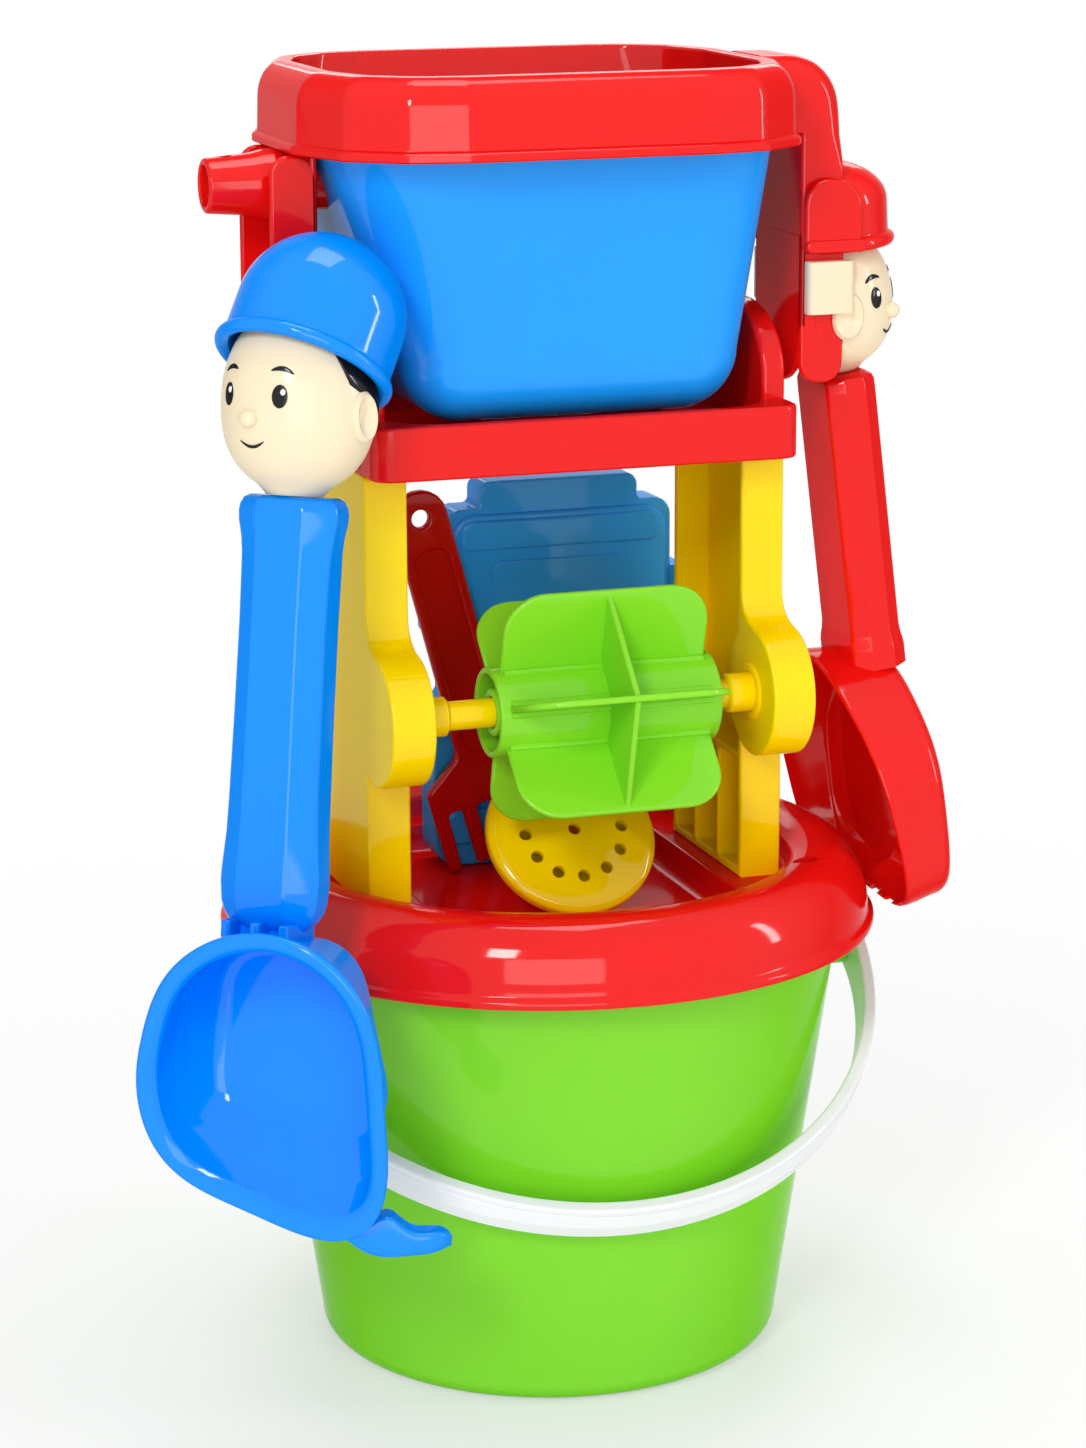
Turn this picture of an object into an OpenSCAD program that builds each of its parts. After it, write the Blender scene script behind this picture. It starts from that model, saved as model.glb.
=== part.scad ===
// Sand wheel toy: bucket, mill with paddle wheel, watering can and hand tools.
// X runs along the axle, the front is towards -Y, Z is up, the origin is under the bucket.

/* [Bucket] */
// Outer radius at the foot
foot_r = 76.5; // [66:0.5:82]
// Outer radius at the rim
rim_r = 99; // [96:0.5:100]
// Height of the bucket
bucket_h = 160; // [140:1:190]
// Wall of the bucket
bucket_wall = 2.2; // [1.6:0.1:3]
// Rounding of the foot edge
foot_round = 8; // [4:0.5:12]
// Drop of the handle pivots below the bucket rim
ear_drop = 36; // [34:0.5:44]
// Radius of the ears that carry the handle
ear_r = 9; // [7:0.5:11]

/* [Bucket handle] */
// Middle radius of the handle strip
bail_r = 108; // [107:0.5:116]
// Width of the handle strip
bail_w = 14; // [10:0.5:18]
// Thickness of the handle strip at its rails
bail_t = 4.5; // [3.5:0.5:6]
// Thickness of the strip between its rails
bail_web = 2.6; // [2:0.1:3]
// Angle that the handle hangs below level
bail_rest = 31; // [26:1:33]
// Radius of the pegs that sit in the ears
peg_r = 3.5; // [2.5:0.1:4.5]
// Length of the pegs inside the ears
peg_in = 9; // [6:0.5:10]

/* [Mill base] */
// Outer radius of the base ring at its lip
ring_r = 108; // [107.5:0.5:109]
// Depth of the ring's skirt below the bucket rim
skirt = 17.4; // [14:0.2:20]
// Height of the ring's crest over the bucket rim
crest_h = 8.5; // [7:0.5:12]
// Radius of the ring's crest
crest_r = 92; // [91:0.5:93]
// Radius of the recess inside the ring
recess_r = 79.5; // [79:0.5:81]
// Drop of the deck below the bucket rim
deck_drop = 2.2; // [1.5:0.1:3]
// Thickness of the moulded walls of the base
base_wall = 3; // [2.4:0.2:3.4]
// Half length of the tray well along the axle
well_x = 50; // [46:0.5:51]
// Half depth of the tray well
well_y = 68; // [64:0.5:68]
// Drop of the well floor below the bucket rim
well_drop = 12; // [10:0.5:16]
// Height of the collars round the posts
collar_h = 7.5; // [5:0.5:10]
// Wall of the collars round the posts
collar_wall = 2.2; // [1.6:0.2:2.6]
// Radius of the hanging hole in the ring
ring_hole_r = 4; // [3:0.5:5]

/* [Posts] */
// Inner face of each post
post_in = 56; // [54.5:0.5:57]
// Width of each post along the axle
post_w = 14.3; // [12:0.1:16]
// Half depth of each post
post_y = 31.4; // [28:0.2:33]
// Height of the posts over the deck
post_h = 141; // [135:1:160]
// Wall of the posts
post_wall = 2.8; // [2:0.1:3.4]
// Radius of the axle boss
boss_r = 21; // [17:0.5:22]
// Height above the axle at which the boss meets the post
boss_rise = 23.5; // [22:0.5:28]

/* [Axle and wheel] */
// Distance of the axle in front of the posts' middle
axle_y = 40; // [37:0.5:42]
// Height of the axle over the deck
axle_h = 64.7; // [62:0.5:70]
// Radius of the axle
axle_r = 4.65; // [3.5:0.05:5]
// Depth of the axle seats in the bosses
axle_seat = 12; // [8:0.5:12]
// Radius of the paddle wheel
wheel_r = 40.5; // [36:0.5:44]
// Half width of the blades
blade_x = 34; // [26:0.5:40]
// Thickness of the blades
blade_t = 2.2; // [1.6:0.1:3]
// Rounding of the blade corners
blade_round = 14; // [6:0.5:18]
// Number of blades
blades = 6; // [4:1:8]
// Turn of the wheel at rest
wheel_turn = 15; // [0:1:59]
// Shift of the wheel along the axle
wheel_shift = 4; // [-6:0.5:8]
// Outer radius of the hub
hub_r = 14.5; // [12:0.5:17]
// Half length of the hub
hub_x = 37; // [30:0.5:42]

/* [Funnel] */
// Half length of the funnel along the axle
funnel_x = 70.5; // [70.3:0.1:73]
// Half depth of the funnel
funnel_y = 46.5; // [44:0.5:52]
// Height of the funnel's front wall
funnel_h = 17; // [15:0.5:22]
// Height of the arched end walls over the front wall
saddle_h = 29; // [20:1:34]
// Thickness of the end walls
saddle_t = 8; // [6:0.5:8]
// Half side of the sand outlet
outlet = 9; // [6:0.5:12]
// Distance of the outlet in front of the funnel's middle
outlet_back = 16; // [10:0.5:20]

/* [Watering can] */
// Half length of the tub at its foot
tub_foot_x = 56; // [50:0.5:57]
// Half depth of the tub at its foot
tub_foot_y = 42; // [36:0.5:43]
// Half length of the tub at its top
tub_top_x = 72.5; // [70:0.5:73]
// Half depth of the tub at its top
tub_top_y = 50; // [46:0.5:52]
// Height of the tub
tub_h = 84.7; // [70:0.1:100]
// Rounding of the tub's foot
tub_round = 20; // [12:0.5:24]
// Wall of the tub
tub_wall = 2.2; // [1.6:0.1:3]
// Half length of the rim
rim_x = 81; // [79:0.5:83]
// Shift of the rim and the tub's top towards the spout
rim_shift = 6.5; // [5:0.5:8]
// Half depth of the rim
rim_y = 66; // [62:0.5:70]
// Corner radius of the rim
rim_round = 42; // [34:0.5:44]
// Height of the rim
rim_h = 25; // [20:0.5:30]
// Width of the rim's top
rim_top = 12; // [9:0.5:14]
// Overhang of the rim's lip
rim_lip = 1.8; // [1:0.1:2.4]

/* [Arms and spout] */
// Distance of the arms' back from the middle
arm_in = 80; // [76:0.5:81]
// Depth of the arms
arm_d = 15; // [13:0.5:16]
// Half width of the arms
arm_y = 20; // [17:0.5:21]
// Wall of the arms
arm_wall = 2.6; // [2:0.1:3]
// Drop of the arms below the rim
arm_drop = 81; // [70:1:84]
// Drop of the spout's middle below the rim
spout_drop = 10.8; // [10.5:0.1:16]
// Reach of the spout's tip from the middle
spout_tip = 111; // [104:0.5:120]
// Outer radius at the spout's tip
spout_r = 8.6; // [8:0.1:9]
// Outer radius at the spout's root
spout_root_r = 10.2; // [9.5:0.1:10.4]
// Bore of the spout
spout_bore_r = 6.5; // [5:0.1:7]

/* [Sprinkler rose] */
// Radius of the rose
rose_r = 28.5; // [24:0.5:29]
// Thickness of the rose's edge
rose_edge = 5; // [4:0.5:7]
// Swell of the rose's face
rose_swell = 3; // [2:0.5:5]
// Length of the rose's neck behind its edge
rose_neck = 17; // [12:0.5:18]
// Number of holes in the ring of holes
rose_holes = 12; // [8:1:14]
// Radius of each hole
rose_hole_r = 2.1; // [1.5:0.1:2.4]
// Radius of the ring of holes
rose_ring_r = 16.5; // [12:0.5:18]
// Lean of the rose from upright
rose_lean = 40; // [35:1:45]

/* [Scoop] */
// Drop of the scoop's middle below the can's rim
scoop_hang = 158; // [155:0.5:160]
// Distance of the scoop's middle outside the arm that carries it
scoop_out = 11.9; // [11:0.1:13]
// Distance of the scoop's middle in front of the arm that carries it
scoop_front = 49.9; // [49:0.1:52]
// Turn of the scoop about the upright
scoop_turn = 230; // [224:0.5:234]
// Lean of the scoop
scoop_lean = 9.5; // [8:0.5:12]
// Length of the scoop's handle
scoop_grip_l = 133; // [115:1:134]
// Width of the scoop's handle
scoop_grip_w = 34; // [28:0.5:36]
// Depth of the scoop's handle
scoop_grip_d = 24; // [18:0.5:24]
// Width of the scoop's bowl
bowl_w = 86; // [70:0.5:88]
// Height of the scoop's bowl
bowl_h = 110; // [92:1:114]
// Depth of the scoop's bowl under its handle
bowl_d = 46; // [40:0.5:50]
// Depth of the scoop's bowl at its lower edge
bowl_edge_d = 11; // [10:0.5:20]
// Sideways shift of the bowl from the handle
bowl_side = 10; // [6:0.5:12]
// Wall of the scoop's bowl
bowl_wall = 2.6; // [2:0.1:3.4]

/* [Shovel] */
// Drop of the top of the shovel's handle below the can's rim
shovel_hang = 79; // [77:0.5:80]
// Thickness of the jaws that hold the shovel to its arm
grasp_t = 5.5; // [5:0.1:6]
// Lean of the shovel
shovel_lean = 7; // [5:0.5:8]
// Width of the shovel's handle
shovel_grip_w = 32; // [26:0.5:33]
// Depth of the shovel's handle
shovel_grip_d = 18; // [14:0.5:18]
// Width of the shovel's blade
spade_w = 96; // [80:0.5:97]
// Height of the shovel's blade
spade_h = 84; // [76:0.5:86]
// Depth of the blade at its top
spade_d = 28; // [22:0.5:30]
// Depth of the blade at its edge
spade_edge_d = 17; // [12:0.5:18]
// Wall of the blade
spade_wall = 2.6; // [2:0.1:3.2]
// Number of teeth on the blade's edge
spade_teeth = 8; // [6:1:12]

/* [Doll heads] */
// Radius of the scoop's head
scoop_head_r = 23.5; // [20:0.5:24]
// Radius of the shovel's head
shovel_head_r = 21; // [18:0.5:21.5]
// Overhang of a cap over its head
cap_over = 3.5; // [2:0.5:4]
// Slope of the scoop's cap
cap_slope = 26; // [18:1:28]
// Turn of the scoop's head from the front of its bowl
head_turn = -14; // [-20:1:0]
// Height of the scoop's cap
scoop_cap_h = 44; // [38:1:48]
// Height of the shovel's cap
shovel_cap_h = 28; // [25:1:30]

/* [Sand mould and rake] */
// Half width of the truck's cab
cab_x = 40; // [32:0.5:41]
// Depth of the truck mould
truck_d = 18; // [14:0.5:20]
// Height of the truck mould
truck_h = 132; // [110:1:133]
// Wall of the truck mould
truck_wall = 2; // [1.6:0.1:2.6]
// Width of the rake's grip
rake_grip_w = 19; // [15:0.5:22]
// Width of the rake's head
rake_w = 46; // [36:1:48]
// Thickness of the rake
rake_t = 4; // [3:0.2:4.4]
// Number of the rake's teeth
rake_teeth = 5; // [4:1:7]
// Lean of the rake
rake_lean = 15; // [12:1:17]

/* [Fits] */
// Gap between pieces that move on each other
running_gap = 0.35; // [0.3:0.05:0.5]
// Gap between a piece that lifts off and its seat
seat_gap = 0.3; // [0.2:0.05:0.4]
// Gap round pieces that are pushed together
fit_gap = 0.1; // [0.05:0.05:0.2]

/* [Hidden] */
$fn = 96;
hull_fn = 32;
skin = 0.01;
over = 1;
past = 20;

bucket_green = [0.45, 0.8, 0.15];
wheel_green = [0.5, 0.86, 0.1];
toy_red = [0.9, 0.12, 0.1];
toy_yellow = [1, 0.85, 0];
toy_blue = [0, 0.52, 0.96];
can_blue = [0.15, 0.62, 0.98];
face_cream = [0.97, 0.91, 0.78];

// Heights that the pieces share
ear_z = bucket_h - ear_drop;
lip_z = bucket_h - skirt;
lip_t = 3.2;
crest_z = bucket_h + crest_h;
deck_z = bucket_h - deck_drop;
well_z = bucket_h - well_drop;
post_top = deck_z + post_h;
axle_z = deck_z + axle_h;
tongue_h = 6;
tongue_w = 6;
tongue_y = 22;
funnel_top = post_top + funnel_h;
tub_z = funnel_top - 3 + seat_gap;
rim_z = tub_z + tub_h;
rim_top_z = rim_z + rim_h;
spout_z = rim_z - spout_drop;

// Places worked out from the driving sizes
ear_wall_r = foot_r + (rim_r - foot_r) * (ear_z - foot_round) / (bucket_h - foot_round);
ear_out = bail_r - bail_t / 2 - running_gap;
post_out = post_in + post_w;
post_mid = post_in + post_w / 2;
arm_out = arm_in + arm_d;
neck_bore_r = spout_r + running_gap;
rose_y = -14;
rose_x = 4;
rose_z = well_z + rose_r * cos(rose_lean) + rose_edge * sin(rose_lean) + seat_gap;
truck_x = 13;
cab_shift = 7;
chassis_shift = 6;
truck_y = 42;
truck_z = well_z + seat_gap;
rake_y = truck_y - 2 - rake_t;
rake_x = 0;
rake_lift = rake_w / 2 * sin(rake_lean) + seat_gap;
rake_l = (truck_h - rake_lift + seat_gap - rake_grip_w / 2) / cos(rake_lean) + rake_grip_w / 2;

function arc_points(c, r, a0, a1, n) =
    [for (i = [0:n]) c + r * [cos(a0 + (a1 - a0) * i / n), sin(a0 + (a1 - a0) * i / n)]];
function oval_points(c, rx, ry, a0, a1, n) =
    [for (i = [0:n]) c + [rx * cos(a0 + (a1 - a0) * i / n), ry * sin(a0 + (a1 - a0) * i / n)]];

// A rectangle of half sizes x and y with round corners
module round_rect(x, y, r) {
    square([2 * x, 2 * (y - r)], center = true);
    square([2 * (x - r), 2 * y], center = true);
    for (i = [-1, 1], j = [-1, 1]) translate([i * (x - r), j * (y - r)]) circle(r);
}

// A plate of that rectangle with its underside at z
module round_slab(x, y, r, z, t) {
    translate([0, 0, z]) linear_extrude(t) round_rect(x, y, r);
}

// Bucket
module bucket_outside() {
    rotate_extrude()
        polygon(concat([[0, 0]], arc_points([foot_r - foot_round, foot_round], foot_round, -90, 0, 8),
            [[rim_r, bucket_h], [0, bucket_h]]));
}

module bucket_inside() {
    rotate_extrude()
        polygon(concat([[0, bucket_wall]],
            arc_points([foot_r - foot_round, foot_round], foot_round - bucket_wall, -90, 0, 8),
            [[rim_r - bucket_wall, bucket_h], [rim_r - bucket_wall, bucket_h + over], [0, bucket_h + over]]));
}

module bucket() {
    color(bucket_green) difference() {
        union() {
            bucket_outside();
            for (side = [0, 180]) rotate([0, 0, side]) translate([ear_wall_r - 4, 0, ear_z])
                rotate([0, 90, 0]) cylinder(r = ear_r, h = ear_out - ear_wall_r + 4);
        }
        bucket_inside();
        for (side = [0, 180]) rotate([0, 0, side]) translate([ear_out - peg_in - running_gap, 0, ear_z])
            rotate([0, 90, 0]) cylinder(r = peg_r + running_gap, h = peg_in + running_gap + over);
    }
}

module bail_section() {
    rail_w = 3;
    square([bail_web, bail_w], center = true);
    for (end = [-1, 1]) translate([0, end * (bail_w - rail_w) / 2]) square([bail_t, rail_w], center = true);
}

module bucket_handle() {
    color("white") translate([0, 0, ear_z]) rotate([bail_rest, 0, 0]) {
        rotate([0, 0, 180]) rotate_extrude(angle = 180) translate([bail_r, 0]) bail_section();
        for (side = [0, 180]) rotate([0, 0, side]) {
            translate([bail_r - bail_t / 2, 0, 0]) rotate([0, 90, 0]) cylinder(r = ear_r, h = bail_t);
            translate([ear_out - peg_in, 0, 0]) rotate([0, 90, 0])
                cylinder(r = peg_r, h = bail_r - ear_out + peg_in);
        }
    }
}

// Mill
module base_ring() {
    body_r = ring_r - 2;
    body_z = lip_z + lip_t + 1.2;
    edge_z = bucket_h + 3;
    seat_z = bucket_h + seat_gap;
    rotate_extrude()
        polygon(concat([[ring_r - base_wall, lip_z], [ring_r, lip_z], [ring_r, lip_z + lip_t]],
            oval_points([crest_r, body_z], body_r - crest_r, crest_z - body_z, 0, 90, 14),
            oval_points([crest_r, edge_z], crest_r - recess_r, crest_z - edge_z, 105, 180, 8),
            [[recess_r - 1, deck_z], [0, deck_z], [0, deck_z - base_wall],
             [recess_r + base_wall, deck_z - base_wall], [rim_r - 5.5, seat_z], [rim_r + 2, seat_z],
             [body_r - base_wall, lip_z + 6]]));
}

module post_footprint(gap) {
    translate([post_mid, 0]) square([post_w + 2 * gap, 2 * (post_y + gap)], center = true);
}

module mill_base() {
    well_round = 25;
    hole_at = [70.3, -52.7];
    color(toy_red) difference() {
        union() {
            base_ring();
            round_slab(well_x + base_wall, well_y + base_wall, well_round + base_wall, well_z - base_wall,
                deck_z - well_z + base_wall);
            for (side = [0, 180]) rotate([0, 0, side]) translate([0, 0, deck_z - base_wall])
                linear_extrude(base_wall + collar_h) post_footprint(collar_wall);
        }
        round_slab(well_x, well_y, well_round, well_z, deck_z - well_z + collar_h + over);
        for (side = [0, 180]) rotate([0, 0, side]) translate([0, 0, deck_z])
            linear_extrude(collar_h + over) post_footprint(fit_gap);
        translate([hole_at[0], hole_at[1], bucket_h]) cylinder(r = ring_hole_r, h = 2 * crest_h);
    }
}

// Side outline of a post: a strip with the axle boss standing out in front
function post_outline() =
    let (reach = axle_y - post_y,
        low = -acos(reach / boss_r),
        aim = atan2(boss_rise, reach),
        tangent = acos(boss_r / norm([reach, boss_rise])))
    concat([[-post_y, deck_z]],
        arc_points([-axle_y, axle_z], boss_r, low, aim + tangent - 360, 28),
        [[-post_y, axle_z + boss_rise], [-post_y, post_top], [post_y, post_top], [post_y, deck_z]]);

// The post on the +X side, open towards the wheel
module post() {
    rib_t = 2.2;
    color(toy_yellow) difference() {
        union() {
            translate([post_in, 0, 0]) rotate([90, 0, 90]) linear_extrude(post_w) polygon(post_outline());
            translate([post_mid - tongue_w / 2, -tongue_y, post_top])
                cube([tongue_w, 2 * tongue_y, tongue_h]);
        }
        difference() {
            translate([post_in - over, post_wall - post_y, deck_z + post_wall])
                cube([post_w - post_wall + over, 2 * (post_y - post_wall), post_h - 2 * post_wall]);
            for (at = [-1, 1]) translate([post_in, at * post_y / 3 - rib_t / 2, deck_z])
                cube([post_w, rib_t, post_h]);
            translate([post_in, -axle_y, axle_z]) rotate([0, 90, 0]) cylinder(r = boss_r, h = post_w);
        }
        translate([post_in - over, -axle_y, axle_z]) rotate([0, 90, 0])
            cylinder(r = axle_r + fit_gap, h = axle_seat + over);
    }
}

module right_post() {
    post();
}

module left_post() {
    mirror([1, 0, 0]) post();
}

module axle() {
    half = post_in + axle_seat - fit_gap;
    color(toy_yellow) translate([0, -axle_y, axle_z]) rotate([0, 90, 0])
        cylinder(r = axle_r, h = 2 * half, center = true);
}

// Blade outline: along the axle and outwards
function blade_outline() =
    let (root = hub_r - 1)
    concat([[-blade_x, root]],
        arc_points([blade_round - blade_x, wheel_r - blade_round], blade_round, 180, 90, 8),
        arc_points([blade_x - blade_round, wheel_r - blade_round], blade_round, 90, 0, 8),
        [[blade_x, root]]);

module paddle_wheel() {
    hub_wall = 2.2;
    tube_wall = 2.6;
    bore_r = axle_r + running_gap;
    web_t = 2;
    color(wheel_green) translate([wheel_shift, -axle_y, axle_z]) rotate([wheel_turn, 0, 0]) difference() {
        union() {
            for (i = [0:blades - 1]) rotate([i * 360 / blades, 0, 0])
                rotate([90, 0, 0]) linear_extrude(blade_t, center = true) polygon(blade_outline());
            rotate([0, 90, 0]) difference() {
                translate([0, 0, -hub_x]) cylinder(r = hub_r, h = 2 * hub_x);
                translate([0, 0, -hub_x - over]) cylinder(r = hub_r - hub_wall, h = 2 * hub_x + 2 * over);
            }
            rotate([0, 90, 0]) translate([0, 0, -hub_x]) cylinder(r = bore_r + tube_wall, h = 2 * hub_x);
            rotate([0, 90, 0]) cylinder(r = wheel_r - 1, h = web_t, center = true, $fn = blades);
        }
        rotate([0, 90, 0]) translate([0, 0, -hub_x - over]) cylinder(r = bore_r, h = 2 * hub_x + 2 * over);
    }
}

// Hopper shape inside the funnel, grown by a wall, with its outlet over the wheel
module hopper(grow) {
    top_x = funnel_x - saddle_t;
    hull() {
        translate([wheel_shift, -outlet_back, 0])
            round_slab(outlet + grow, outlet + grow, 3, post_top - over, skin, $fn = hull_fn);
        round_slab(top_x + grow, funnel_y - base_wall + grow, 17, funnel_top, skin, $fn = hull_fn);
    }
}

module saddle_ends() {
    foot_y = funnel_y - 15;
    rise_z = funnel_top + 8;
    for (side = [0, 180]) rotate([0, 0, side]) translate([funnel_x - saddle_t, 0, 0]) rotate([90, 0, 90])
        linear_extrude(saddle_t)
            polygon(concat([[-foot_y, post_top], [foot_y, post_top]],
                oval_points([0, rise_z], foot_y, funnel_top + saddle_h - rise_z, 0, 180, 20)));
}

module funnel() {
    corner = 20;
    rib_x = 30;
    rib_t = 3;
    end_block = funnel_x - post_in + 3;
    color(toy_red) difference() {
        union() {
            difference() {
                round_slab(funnel_x, funnel_y, corner, post_top, funnel_h);
                hopper(0);
            }
            saddle_ends();
            for (side = [-1, 1]) intersection() {
                translate([side * rib_x - rib_t / 2, -funnel_y, post_top + 1])
                    cube([rib_t, 2 * funnel_y, tub_z - seat_gap - post_top - 1]);
                round_slab(funnel_x, funnel_y, corner, post_top, funnel_h);
            }
        }
        difference() {
            round_slab(funnel_x - end_block, funnel_y - base_wall, corner - base_wall, post_top - over,
                funnel_h + over - base_wall);
            hopper(base_wall);
        }
        for (side = [-1, 1])
            translate([side * post_mid - tongue_w / 2 - fit_gap, -tongue_y - fit_gap, post_top - over])
                cube([tongue_w + 2 * fit_gap, 2 * (tongue_y + fit_gap), tongue_h + over + fit_gap]);
    }
}

// Watering can
module tub_top(grow, z, t) {
    corner = tub_round + 6;
    translate([-rim_shift, 0, 0]) round_slab(tub_top_x + grow, tub_top_y + grow, corner + grow, z, t);
}

module tub_form(inset) {
    r = tub_round - inset;
    hull() {
        for (i = [-1, 1], j = [-1, 1])
            translate([i * (tub_foot_x - tub_round), j * (tub_foot_y - tub_round), tub_z + tub_round])
                sphere(r, $fn = hull_fn);
        tub_top(-inset, rim_z - skin, skin + (inset > 0 ? over : 0), $fn = hull_fn);
    }
}

// The tub is one moulding, kept as five simple pieces: each is its shell between two corners of a block
module tub_piece(low, high) {
    color(can_blue) intersection() {
        difference() {
            tub_form(0);
            tub_form(tub_wall);
            translate([-tub_end_x, 0, spout_z]) rotate([0, 90, 0])
                cylinder(r = spout_r + fit_gap, h = tub_end_x);
        }
        translate(low) cube(high - low);
    }
}

tub_end_x = tub_top_x + rim_shift + over;
tub_end_y = tub_top_y + over;
panel_y = tub_foot_y - tub_round;
panel_z = tub_z + tub_round;

module can_floor() {
    tub_piece([-tub_end_x, -tub_end_y, tub_z - over], [tub_end_x, tub_end_y, panel_z]);
}

module can_front() {
    tub_piece([-tub_end_x, -tub_end_y, panel_z], [tub_end_x, -panel_y, rim_z + over]);
}

module can_back() {
    tub_piece([-tub_end_x, panel_y, panel_z], [tub_end_x, tub_end_y, rim_z + over]);
}

module can_left() {
    tub_piece([-tub_end_x, -panel_y, panel_z], [0, panel_y, rim_z + over]);
}

module can_right() {
    tub_piece([0, -panel_y, panel_z], [tub_end_x, panel_y, rim_z + over]);
}

// Shoulder that carries the handle arm over the rim's end
shoulder_in = rim_x - rim_shift - 6;
handle_top = rim_z + rim_h / 3;
shoulder_z = handle_top - arm_wall;

module rim_slab(grow, z, t) {
    translate([-rim_shift, 0, 0]) round_slab(rim_x + grow, rim_y + grow, rim_round + grow, z, t);
}

// Opening from the tub up to the rim's top, grown by a wall
module rim_mouth(grow) {
    hull() {
        tub_top(grow - tub_wall, rim_z - skin, skin, $fn = hull_fn);
        rim_slab(grow - rim_top, rim_top_z, skin, $fn = hull_fn);
    }
}

module can_rim() {
    lip_h = 3;
    wall = 2.6;
    bevel = 7;
    bevel_z = rim_top_z - 9;
    color(toy_red) difference() {
        union() {
            rim_slab(rim_lip, rim_z, lip_h);
            hull() {
                rim_slab(0, rim_z, bevel_z - rim_z, $fn = hull_fn);
                rim_slab(-bevel, rim_top_z - skin, skin, $fn = hull_fn);
            }
        }
        rim_mouth(0);
        difference() {
            rim_slab(-wall, rim_z - over, bevel_z - rim_z + over - wall);
            translate([0, 0, -over]) rim_mouth(tub_wall + wall);
        }
        translate([shoulder_in - fit_gap, -arm_y - fit_gap, shoulder_z - fit_gap])
            cube([past, 2 * (arm_y + fit_gap), rim_h]);
    }
}

// Channel arm on the +X side, open outwards, up to a given height
module arm(top) {
    foot = rim_z - arm_drop;
    difference() {
        translate([arm_in, -arm_y, foot]) cube([arm_d, 2 * arm_y, top - foot]);
        translate([arm_in + arm_wall, arm_wall - arm_y, foot - over])
            cube([arm_d, 2 * (arm_y - arm_wall), top - foot - arm_wall + over]);
        translate([arm_in - over, 0, foot]) rotate([0, 90, 0]) difference() {
            translate([-arm_y - over, -arm_y - over, 0])
                cube([arm_y + 2 * over, 2 * (arm_y + over), arm_d + 2 * over]);
            translate([-arm_y, 0, 0]) cylinder(r = arm_y, h = arm_d + 2 * over);
            translate([-arm_y - over, -arm_y, 0]) cube([over, 2 * arm_y, arm_d + 2 * over]);
        }
    }
}

module can_handle() {
    bend = 17;
    color(toy_red) union() {
        arm(handle_top);
        translate([0, arm_y, 0]) rotate([90, 0, 0]) linear_extrude(2 * arm_y)
            polygon(concat([[shoulder_in, rim_top_z], [shoulder_in, shoulder_z], [arm_out, shoulder_z]],
                arc_points([arm_out - bend, rim_top_z - bend], bend, 0, 90, 12)));
    }
}

module can_spout() {
    tail = arm_in - 14;
    color(toy_red) difference() {
        union() {
            mirror([1, 0, 0]) arm(rim_z - fit_gap);
            translate([-arm_in, 0, spout_z]) rotate([0, -90, 0])
                cylinder(r1 = spout_root_r, r2 = spout_r, h = spout_tip - arm_in);
            translate([-arm_in, 0, spout_z]) rotate([0, 90, 0]) cylinder(r = spout_r, h = arm_in - tail);
        }
        translate([-spout_tip - over, 0, spout_z]) rotate([0, 90, 0])
            cylinder(r = spout_bore_r, h = spout_tip);
    }
}

// Sprinkler rose, standing in the tray
module sprinkler_rose() {
    wall = 1.8;
    neck_r = neck_bore_r + wall;
    color(toy_yellow) translate([rose_x, rose_y, rose_z]) rotate([90 - rose_lean, 0, 0]) difference() {
        rotate_extrude()
            polygon(concat([[0, rose_swell]],
                [for (i = [1:8]) [rose_r * i / 8, rose_swell * (1 - pow(i / 8, 2))]],
                [[rose_r, -rose_edge], [neck_r, -rose_edge - 5], [neck_r, -rose_edge - rose_neck],
                 [neck_bore_r, -rose_edge - rose_neck], [neck_bore_r, -rose_edge - 5 + wall],
                 [rose_r - wall, -rose_edge + wall], [rose_r - wall, -wall],
                 [rose_r / 2, rose_swell * 3 / 4 - wall], [0, rose_swell - wall]]));
        for (i = [1:rose_holes]) rotate([0, 0, i * 360 / rose_holes])
            translate([rose_ring_r, 0, wall - rose_edge])
                cylinder(r = rose_hole_r, h = rose_edge + rose_swell, $fn = 24);
        translate([0, 0, -wall]) cylinder(r = rose_hole_r, h = rose_swell + 2 * wall, $fn = 24);
    }
}

// Frame of the scoop: +X is its front, +Z runs up its handle
scoop_at = [-arm_out - scoop_out, -arm_y - scoop_front, rim_z - scoop_hang];
module scoop_frame() {
    translate(scoop_at) rotate([0, 0, scoop_turn]) rotate([0, -scoop_lean, 0]) children();
}

grip_top = 61;
grip_foot = grip_top - scoop_grip_l;
bowl_top = grip_foot + 12;
bowl_back = -6;

// Circles round the bowl's mouth and back, seen from the front: sideways, up and radius, as shares of the
// bowl's width, height and width
mouth_circles = [[0.05, 0.69, 0.395], [-0.05, 0.65, 0.385], [-0.16, 0.47, 0.36], [0.13, 0.6, 0.355],
    [0.256, 0.2, 0.192], [-0.256, 0.364, 0.244]];
back_circles = [[-0.233, 0.49, 0.1], [0.25, 0.48, 0.14], [-0.163, 0.745, 0.17], [0.09, 0.74, 0.19]];

module bowl_outline(circles, inset) {
    for (spot = circles)
        translate([spot[0] * bowl_w, spot[1] * bowl_h]) circle(spot[2] * bowl_w - inset);
}

// Bowl between its back and its sloping mouth
module bowl_form(inset, proud) {
    foot_z = bowl_top - bowl_h;
    slope = atan((bowl_d - bowl_edge_d) / bowl_h);
    hull() {
        translate([bowl_back + inset, bowl_side, foot_z]) rotate([90, 0, 90]) linear_extrude(skin)
            bowl_outline(back_circles, inset, $fn = hull_fn);
        translate([bowl_back + bowl_edge_d + proud, bowl_side, foot_z]) rotate([0, slope, 0])
            rotate([90, 0, 90]) linear_extrude(skin) bowl_outline(mouth_circles, inset, $fn = hull_fn);
    }
}

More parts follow.
